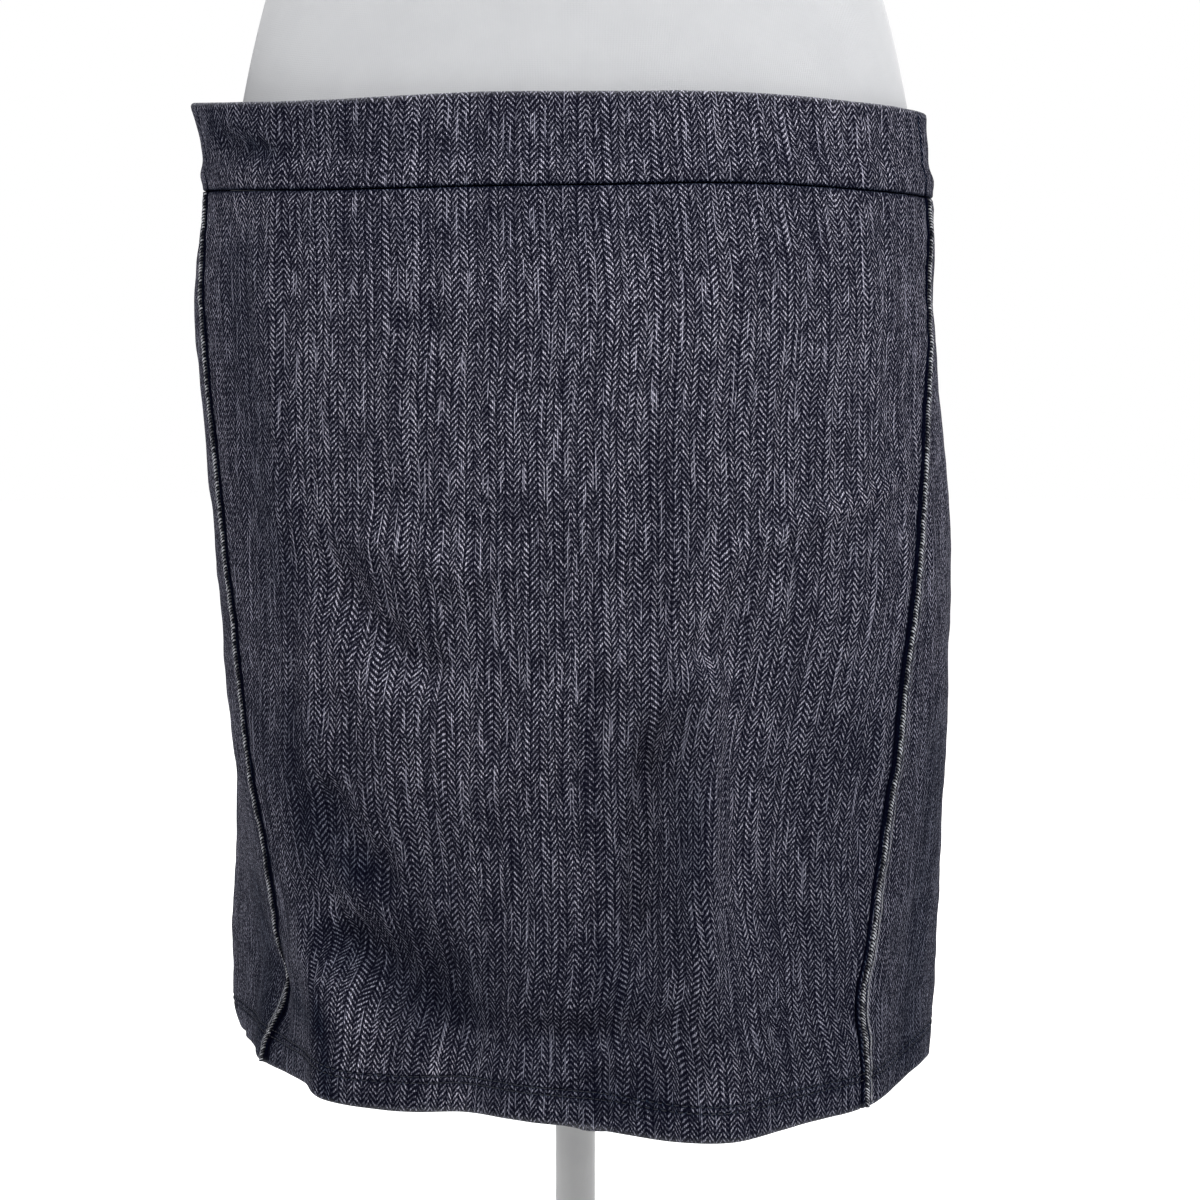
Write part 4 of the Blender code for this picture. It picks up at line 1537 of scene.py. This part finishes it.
@dataclass(frozen=True)
class Waistbands:
    """Front and back waistbands, each one sheet folded double at the top edge."""
    skin: SkirtSkin
    material: bpy.types.Material
    wash_and_shade: WashAndPaintedShade = WashAndPaintedShade()
    cloth: float = 0.0012
    fold_radius: float = 0.0013
    inner_depth: float = 0.0385
    side_roll: EdgeRoll = EdgeRoll(0.0022, 0.0013, 0.0)
    seam_roll: EdgeRoll = EdgeRoll(0.0013, 0.0020, 0.0006)
    strips: tuple[int, int] = (170, 22)
    seam_columns: tuple[float, ...] = (0.0, 0.0010, 0.0020, 0.0032)
    ridge: Bump = Bump(0.0009, 0.0080, 0.0040)
    hollow: Bump = Bump(-0.0005, 0.0170, 0.0060)
    lip: Bump = Bump(0.0003, 0.0030, 0.0025)
    pinch: Bump = Bump(0.00015, 0.0060, 0.0070)
    worn_top: Bump = Bump(0.35, 0.0, 0.0010)
    # painted shade in the recesses of the band seam and the side seams
    seam_shade: Bump = Bump(1.0, 0.0, 0.0012)

    def rows(self) -> Lines:
        """Rows from the turned-in seam edge, up, over the top fold and down inside.

        Returns:
            The rows.
        """
        s = np.linspace(0, 1, self.strips[1] + 1)
        outer = Lines.part(s, self.seam_roll.reach * (1 - s) - self.fold_radius * s, 0.0, 1.0)
        fold = fold_under(self.fold_radius, np.linspace(0.0035, self.inner_depth, 10), -1.0)
        fold = Lines(fold.share, fold.offset, fold.depth, 1 - fold.depth / self.fold_radius)
        return Lines.joined(self.seam_roll.lines(0.0, 1.0).backwards(), outer, fold)

    def relief(self, gap: Array, above: Array, below: Array) -> Array:
        """Ridge over the seam allowance, hollow above it and pinches by the side seams.

        Args:
            gap: Distance from the nearest side seam.
            above: Distance above the band seam.
            below: Distance below the top edge.

        Returns:
            Push out of the skin.
        """
        pinch = np.cos(above / 0.0016) * self.pinch.at(gap)
        return self.ridge.at(above) + self.hollow.at(above) + self.lip.at(below) + pinch

    def build(self, half: Half) -> bpy.types.Object:
        """Make one waistband.

        Args:
            half: Which waistband.

        Returns:
            The sheet.
        """
        fine = self.side_roll.reach + np.array(self.seam_columns)
        patch = ClothPatch(
            self.skin, half_span(self.skin, half),
            lambda angle: self.skin.band_seam(angle) + PANEL_CLEARANCE, self.skin.band_top,
            spread_columns(self.side_roll, fine, self.strips[0]), self.rows(),
            0.0 if half is Half.FRONT else 180.0,
        )
        laid = patch.lay(self.relief)
        # painted shade in the recesses of the band seam and the side seams
        recess_shade = np.clip(self.seam_shade.at(laid.above) + self.seam_shade.at(laid.side_gap), 0, 1)
        fade = self.wash_and_shade.at(laid.points, laid.side_gap, recess_shade)
        marks = {"Wear": self.worn_top.at(laid.below), "Fade": fade}
        piece = new_sheet(f"waistband_{half.value}_cloth", laid, self.material, self.cloth, marks)
        return enter(piece, "denim", f"waistband_{half.value}")


@dataclass(frozen=True)
class SideWelts:
    """Roped welts that cover the side seams."""
    skin: SkirtSkin
    material: bpy.types.Material
    start: float = 0.0019
    width: float = 0.0023
    height: float = 0.0015
    lift: float = 0.00006
    rope_pitch: float = 0.0030
    rope_depth: float = 0.08
    strand_slant: float = 0.9
    crown_power: float = 0.75
    end_gap: float = 0.0004
    rows: int = 430
    sides: int = 14

    def build(self, side: Side) -> bpy.types.Object:
        """Make one welt: a flat-bottomed bead carried up the seam.

        Round the bead the place across is (1 - cos f) / 2 of the width, and the height
        sin f of its own, which swells with a slanting wave like a rope's strands.

        Args:
            side: Which side seam.

        Returns:
            The bead.
        """
        sign = 1.0 if side is Side.RIGHT else -1.0
        turn = np.linspace(0, 2 * np.pi, self.sides + 1)[:-1][None, :]
        rise = np.linspace(0, 1, self.rows)[:, None]
        across = self.start + self.width * (1 - np.cos(turn)) / 2 + 0 * rise
        height = np.full(across.shape, MID_HEIGHT)
        for _ in range(SETTLING_TURNS):
            angle = self.skin.seam_angle(side, height) + sign * unroll(across)
            low, high = self.skin.hem_edge(angle) + self.end_gap, self.skin.band_seam(angle) - self.end_gap
            height = low + rise * (high - low)
        face, normal = self.skin.point_and_normal(angle, height)
        strands = np.cos(2 * np.pi * (height / self.rope_pitch + self.strand_slant * across / self.width))
        swell = self.height * (1 + self.rope_depth * strands)
        crown = np.clip(np.sin(turn), 0, 1) ** self.crown_power
        points = face + normal * (self.lift + swell * crown)[..., None]
        cloth = np.stack([across, height], axis=-1)
        if side is Side.LEFT:
            points, cloth = points[:, ::-1], cloth[:, ::-1]
        faces = grid_quads(self.rows, self.sides, closed=True).tolist()
        last = (self.rows - 1) * self.sides
        faces.append(list(range(self.sides))[::-1])
        faces.append([last + j for j in range(self.sides)])
        piece = new_piece(f"side_welt_{side.value}_bead", points, faces, self.material, cloth)
        return enter(piece, "denim", f"side_welt_{side.value}")


@dataclass(frozen=True)
class HemStitches:
    """Two rows of stitches round the hem."""
    skin: SkirtSkin
    material: bpy.types.Material
    pitch: float = 0.0033
    length: float = 0.0026
    thickness: float = 0.0005
    sunk: float = 0.00030
    arch: float = 0.00012
    sides: int = 6
    rings: int = 5

    def capsule(self) -> Array:
        """Points of one stitch: rings along it whose radius goes as sin(t)^0.6, arched by sin(t).

        Returns:
            Points (rings, sides, 3) along, across and out of the cloth.
        """
        t = np.radians(np.linspace(12, 168, self.rings))[:, None]
        turn = np.linspace(0, 2 * np.pi, self.sides + 1)[:-1][None, :]
        radius = self.thickness / 2 * np.sin(t) ** 0.6
        along = -np.cos(t) * self.length / 2 + 0 * turn
        out = radius * np.sin(turn) + self.arch * np.sin(t)
        return np.stack([along, radius * np.cos(turn), out], axis=-1)

    def build(self) -> bpy.types.Object:
        """Make both rows as one piece, a chain of small capsules along each row.

        A stitch lies along the line to the skin's point a little further round the row.

        Returns:
            The stitches.
        """
        count = int(2 * np.pi * UNROLL_RADIUS / self.pitch)
        angle = np.concatenate([np.linspace(-180, 180, count + 1)[:-1] + i * 180 / count for i in range(2)])
        above = np.repeat(STITCH_ROWS, count)
        height = self.skin.hem_edge(angle) + above
        face, normal = self.skin.point_and_normal(angle, height)
        ahead = self.skin.point(angle + 0.2, self.skin.hem_edge(angle + 0.2) + above)
        run = ahead - face
        run = run / np.linalg.norm(run, axis=-1, keepdims=True)
        up = np.cross(normal, run)
        shape = self.capsule().reshape(-1, 3)
        points = (face - self.sunk * normal)[:, None] + sum(
            shape[None, :, i:i + 1] * axis[:, None] for i, axis in enumerate((run, up, normal)))
        one = grid_quads(self.rings, self.sides, closed=True)
        last = (self.rings - 1) * self.sides
        ends = np.array([range(self.sides)[::-1], range(last, last + self.sides)])
        start = (np.arange(len(angle)) * len(shape))[:, None, None]
        faces = (start + one).reshape(-1, 4).tolist() + (start + ends).reshape(-1, self.sides).tolist()
        piece = new_piece("hem_stitches", points, faces, self.material)
        return enter(piece, "denim")


# ---------------------------------------------------------------- form and stand

@dataclass(frozen=True)
class DressForm:
    """Limbless form under a stretched jersey cover, closed at the bottom and the neck."""
    material: bpy.types.Material
    rings: Rings = Rings((
        Section(0.3950, 0.1560, 0.1560, 0.1080, 0.1140, 2.2),
        Section(0.4000, 0.1660, 0.1660, 0.1170, 0.1230, 2.2),
        Section(0.4200, 0.1715, 0.1715, 0.1220, 0.1290, 2.2),
        Section(0.4650, 0.1755, 0.1755, 0.1250, 0.1340, 2.2),
        Section(0.5250, 0.1750, 0.1750, 0.1200, 0.1310, 2.2),
        Section(0.5850, 0.1700, 0.1700, 0.1100, 0.1170, 2.2),
        Section(0.6300, 0.1632, 0.1632, 0.1030, 0.1080, 2.2),
        Section(0.6800, 0.1512, 0.1512, 0.0960, 0.0960, 2.2),
        Section(0.7450, 0.1275, 0.1275, 0.0900, 0.0820, 2.2),
        Section(0.8100, 0.1320, 0.1320, 0.0990, 0.0880, 2.2),
        Section(0.8900, 0.1500, 0.1500, 0.1280, 0.1010, 2.3),
        Section(0.9300, 0.1550, 0.1550, 0.1270, 0.1060, 2.3),
        Section(0.9900, 0.1625, 0.1625, 0.1040, 0.1060, 2.4),
        Section(1.0400, 0.1700, 0.1700, 0.0840, 0.0980, 2.4),
        Section(1.0720, 0.1680, 0.1680, 0.0720, 0.0880, 2.3),
        Section(1.0950, 0.1480, 0.1480, 0.0640, 0.0790, 2.2),
        Section(1.1120, 0.1060, 0.1060, 0.0590, 0.0710, 2.1),
        Section(1.1270, 0.0700, 0.0700, 0.0560, 0.0630, 2.0),
        Section(1.1550, 0.0565, 0.0565, 0.0545, 0.0565, 2.0),
        Section(1.2000, 0.0545, 0.0545, 0.0545, 0.0545, 2.0),
    ))
    seam_angles: tuple[float, ...] = (-90.0, 90.0, 180.0)
    seam_depth: float = 0.0007
    seam_width: float = 0.0016
    row_step: float = 0.0045
    column_step: float = 2.0
    seam_columns: tuple[float, ...] = (-1.2, -0.8, -0.5, -0.25, 0.25, 0.5, 0.8, 1.2)
    bottom_rim: float = 0.96

    def columns(self) -> Array:
        """Columns of the form: even ones, and close ones by each seam.

        Returns:
            Their angles, rising.
        """
        even = np.arange(-180, 180, self.column_step)
        near = (np.array(self.seam_angles)[:, None] + np.array(self.seam_columns)).ravel()
        return np.unique(np.round((np.concatenate([even, near]) + 180) % 360 - 180, 6))

    def build(self) -> bpy.types.Object:
        """Make the form: rings from its table, drawn in along the three seams.

        Rows stand closer where the shoulders turn in, at even steps of the table.

        Returns:
            The closed form.
        """
        angle = self.columns()
        levels = np.array([row.height for row in self.rings.rows])
        places = []
        for low, high in zip(levels[:-1], levels[1:]):
            count = max(int(np.ceil((high - low) / self.row_step)), 5)
            places.append(np.linspace(low, high, count + 1)[:-1])
        height = np.append(np.concatenate(places), levels[-1])
        angle_grid, height_grid = np.meshgrid(angle, height)
        radius = self.rings.radius(angle_grid, height_grid)
        for seam in self.seam_angles:
            gap = np.radians(turn_to(seam, angle_grid)) * radius
            radius = radius - self.seam_depth * np.exp(-(gap / self.seam_width) ** 2)
        rings = round_axis(radius, np.radians(angle_grid), height_grid)
        inner = rings[:1] * np.array([self.bottom_rim, self.bottom_rim, 1.0])
        points, faces = capped(np.concatenate([inner, rings]), height[0], height[-1])
        piece = new_piece("form_body_cover", points, faces, self.material)
        return enter(piece, "form_cover", "form_torso")


class Corner(NamedTuple):
    """Corner of a turned piece's profile, and how far back from it the rounding starts."""
    radius: float
    height: float
    rounding: float = 0.0


def turned(name: str, corners: list[Corner], material: bpy.types.Material, sides: int) -> bpy.types.Object:
    """Turned piece: a profile with rounded corners, swept round the axis.

    A rounded corner is the quadratic curve between the two points that lie its rounding
    away along the profile, pulled towards the corner.  A profile that starts and ends
    on the axis is closed by points there, and any other profile is a closed loop.

    Args:
        name: Name of the piece.
        corners: Corners from the bottom, up the outside, to the top.
        material: Finish.
        sides: Number of points round.

    Returns:
        The piece.
    """
    place = np.array([(c.radius, c.height) for c in corners])
    before, after = np.roll(place, 1, axis=0), np.roll(place, -1, axis=0)
    path = []
    for here, last, following, corner in zip(place, before, after, corners):
        if corner.rounding == 0:
            path.append(here[None])
            continue
        start = here + (last - here) / np.linalg.norm(last - here) * corner.rounding
        end = here + (following - here) / np.linalg.norm(following - here) * corner.rounding
        t = np.linspace(0, 1, 7)[:, None]
        path.append((1 - t) ** 2 * start + 2 * t * (1 - t) * here + t * t * end)
    path = np.concatenate(path)
    solid = corners[0].radius == 0
    if solid:
        path = path[1:-1]
    turn = np.linspace(0, 2 * np.pi, sides + 1)[:-1][None, :]
    rings = round_axis(path[:, :1], turn, path[:, 1:])
    if solid:
        points, faces = capped(rings, corners[0].height, corners[-1].height)
        return new_piece(name, points, faces, material)
    faces = grid_quads(len(path) + 1, sides, closed=True) % (len(path) * sides)
    return new_piece(name, rings, faces.tolist(), material)


@dataclass(frozen=True)
class Stand:
    """Neck cap, socket, pole, collar and base, turned to the sizes of their nodes."""
    plastic: bpy.types.Material
    paint: bpy.types.Material
    gap: float = 0.0003
    pole_radius: float = 0.010

    def neck_cap(self) -> list[Corner]:
        """Profile of the plain cap that closes the neck, with a shallow ring round its top.

        Returns:
            Its corners.
        """
        low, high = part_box("form_neck_cap")
        return [
            Corner(0.0, low.z),
            Corner(high.x, low.z, 0.0006),
            Corner(high.x, high.z, 0.0042),
            Corner(high.x - 0.0085, high.z - 0.0001, 0.0006),
            Corner(high.x - 0.0095, high.z - 0.0012, 0.0006),
            Corner(high.x - 0.0120, high.z - 0.0012, 0.0006),
            Corner(high.x - 0.0130, high.z - 0.0001, 0.0006),
            Corner(0.0, high.z),
        ]

    def socket(self) -> list[Corner]:
        """Profile of the flanged socket under the form, bored for the pole.

        Returns:
            Its corners.
        """
        low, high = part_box("form_socket")
        bore = self.pole_radius + self.gap
        return [
            Corner(bore, low.z, 0.0006),
            Corner(0.0210, low.z, 0.0015),
            Corner(0.0240, high.z - 0.0070, 0.0020),
            Corner(high.x, high.z - 0.0040, 0.0010),
            Corner(high.x, high.z, 0.0006),
            Corner(bore, high.z, 0.0006),
        ]

    def pole(self) -> list[Corner]:
        """Profile of the pole.

        Returns:
            Its corners.
        """
        low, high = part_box("stand_pole")
        return [
            Corner(0.0, low.z),
            Corner(high.x, low.z, 0.0006),
            Corner(high.x, high.z, 0.0010),
            Corner(0.0, high.z),
        ]

    def collar(self) -> list[Corner]:
        """Profile of the flanged collar that holds the pole on the base.

        Returns:
            Its corners.
        """
        low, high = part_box("stand_collar")
        bore = self.pole_radius + self.gap
        outer = bore + 0.0060
        return [
            Corner(bore, low.z, 0.0003),
            Corner(high.x, low.z, 0.0005),
            Corner(high.x, low.z + 0.0030, 0.0012),
            Corner(outer, low.z + 0.0080, 0.0025),
            Corner(outer, high.z, 0.0020),
            Corner(bore, high.z, 0.0008),
        ]

    def base(self) -> list[Corner]:
        """Profile of the round base plate, with its rounded rim.

        Returns:
            Its corners.
        """
        low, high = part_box("stand_base")
        return [
            Corner(0.0, low.z),
            Corner(high.x - 0.0020, low.z, 0.0008),
            Corner(high.x, low.z + 0.0020, 0.0010),
            Corner(high.x, high.z, 0.0060),
            Corner(high.x - 0.0300, high.z - 0.0001, 0.0020),
            Corner(0.0, high.z),
        ]

    def build(self) -> None:
        """Make every turned piece."""
        pieces = (
            ("neck_cap_moulding", self.neck_cap(), self.plastic, 96, "form_trim", "form_neck_cap"),
            ("pole_socket_moulding", self.socket(), self.plastic, 96, "form_trim", "form_socket"),
            ("pole_tube", self.pole(), self.paint, 64, "stand_paint", "stand_pole"),
            ("pole_collar_casting", self.collar(), self.paint, 96, "stand_paint", "stand_collar"),
            ("base_plate", self.base(), self.paint, 160, "stand_paint", "stand_base"),
        )
        for name, corners, material, sides, slot, node in pieces:
            enter(turned(name, corners, material, sides), slot, node)


# ---------------------------------------------------------------- studio

class Lamp(NamedTuple):
    """Square soft light: where it stands, what it faces, its size and its power."""
    name: str
    place: tuple[float, float, float]
    target: tuple[float, float, float]
    size: float
    power: float


@dataclass(frozen=True)
class Studio:
    """Pale floor, soft lights, pale surroundings and the camera."""
    camera_place: tuple[float, float, float] = (0.0, -1.65, 0.51)
    camera_drop: float = 260 / 3300
    camera_yaw: float = 25 / 3300
    lens: float = 99.0
    sensor: float = 36.0
    floor_radii: tuple[float, ...] = (9.0, 4.0, 2.0, 1.0, 0.5)
    floor_height: float = -0.0004
    floor_glow: float = 0.62
    surround: float = 0.10
    lamps: tuple[Lamp, ...] = (
        Lamp("key_softbox", (0.36, -1.12, 2.04), (0.0, 0.0, 0.42), 1.0, 31.5),
        Lamp("right_softbox", (1.79, -0.58, 1.10), (0.0, 0.0, 0.42), 1.0, 9.0),
        Lamp("left_softbox", (-1.79, -0.48, 1.17), (0.0, 0.0, 0.42), 1.0, 12.0),
        Lamp("back_softbox", (0.60, 2.20, 1.80), (0.0, 0.0, 0.60), 1.4, 30.0),
    )

    def floor(self) -> None:
        """Make the round floor, just under the base, of rings of points at falling radii.

        It glows fully behind the skirt, where it runs into the white surroundings, and in
        front only as much as it takes to look pale, which lights nothing.
        """
        sides, rows = 96, len(self.floor_radii)
        turn = np.linspace(0, 2 * np.pi, sides + 1)[:-1][None, :]
        rings = round_axis(np.array(self.floor_radii)[:, None], turn, self.floor_height)
        points = np.concatenate([rings.reshape(-1, 3), [[0, 0, self.floor_height]]])
        faces = grid_quads(rows, sides, closed=True).tolist()
        faces += fan((rows - 1) * sides + np.arange(sides), rows * sides, upwards=True)
        n = Nodes("pale_floor", 0.75)
        cloud = n.rise(n.noise(n.object_place(), 0.40, 2.0), 0.3, 0.7)
        n.feed(n.shader.inputs["Base Color"], n.mixed(cloud, (0.80, 0.80, 0.80), (0.83, 0.83, 0.83)))
        n.shader.inputs["Specular IOR Level"].default_value = 0.15
        n.shader.inputs["Emission Color"].default_value = (1.0, 1.0, 1.0, 1.0)
        _, y, _ = n.split(n.object_place())
        seen = n.tree.nodes.new("ShaderNodeLightPath").outputs["Is Camera Ray"]
        glow = n.math("MAXIMUM", n.rise(y, -0.35, 0.40), n.scaled(seen, self.floor_glow))
        n.feed(n.shader.inputs["Emission Strength"], glow)
        new_piece("studio_floor", points, faces, n.material)

    def world(self) -> None:
        """Light everything evenly from all round, and show white beyond the floor."""
        world = bpy.data.worlds.new("pale_surround")
        world.use_nodes = True
        tree = world.node_tree
        shade = tree.nodes["Background"]
        shade.inputs["Color"].default_value = (1.0, 1.0, 1.0, 1.0)
        seen = tree.nodes.new("ShaderNodeLightPath").outputs["Is Camera Ray"]
        strength = tree.nodes.new("ShaderNodeMapRange")
        strength.inputs["To Min"].default_value = self.surround
        strength.inputs["To Max"].default_value = 1.0
        tree.links.new(seen, strength.inputs["Value"])
        tree.links.new(strength.outputs["Result"], shade.inputs["Strength"])
        bpy.context.scene.world = world

    def lights(self) -> None:
        """Make the soft lights, each turned to face its target."""
        for lamp in self.lamps:
            light = bpy.data.lights.new(lamp.name, "AREA")
            light.shape = "SQUARE"
            light.size, light.energy = lamp.size, lamp.power
            holder = linked(lamp.name, light)
            holder.location = lamp.place
            facing = Vector(lamp.target) - Vector(lamp.place)
            holder.rotation_euler = facing.to_track_quat("-Z", "Y").to_euler()

    def camera(self) -> None:
        """Make the camera, turned a little down and to the right."""
        lens = bpy.data.cameras.new("front_camera")
        lens.lens = self.lens
        lens.sensor_width = self.sensor
        lens.clip_start = 0.05
        lens.clip_end = 60.0
        holder = linked("front_camera", lens)
        holder.location = self.camera_place
        drop, yaw = np.arctan(self.camera_drop), np.arctan(self.camera_yaw)
        holder.rotation_euler = (np.pi / 2 - drop, 0.0, -yaw)
        bpy.context.scene.camera = holder

    def build(self) -> None:
        """Make the floor, surroundings, lights and camera."""
        self.floor()
        self.world()
        self.lights()
        self.camera()
        bpy.context.scene.view_settings.view_transform = "Standard"


# ---------------------------------------------------------------- whole object


def main() -> None:
    """Build the skirt, the form, the stand and the studio."""
    logging.basicConfig(level=logging.INFO, format="%(name)s: %(message)s")
    skin = SkirtSkin()
    denim = HerringboneDenim().build()
    sheets = Panels(skin, denim)
    panels = [sheets.build(half) for half in Half]
    tops = Waistbands(skin, denim)
    bands = [tops.build(half) for half in Half]
    beads = SideWelts(skin, RopedStrip().build())
    welts = [beads.build(side) for side in Side]
    stitches = HemStitches(skin, SewingThread().build()).build()
    DressForm(WhiteJersey().build()).build()
    plastic = SatinFinish("white_moulding", (0.78, 0.78, 0.78), (0.74, 0.74, 0.74), 0.42, 0.0012, 0.00004)
    paint = SatinFinish("white_powder_coat", (0.84, 0.84, 0.84), (0.80, 0.80, 0.81), 0.46, 0.0009, 0.00006)
    Stand(plastic.build(), paint.build()).build()
    Studio().build()


if __name__ == "__main__":
    main()
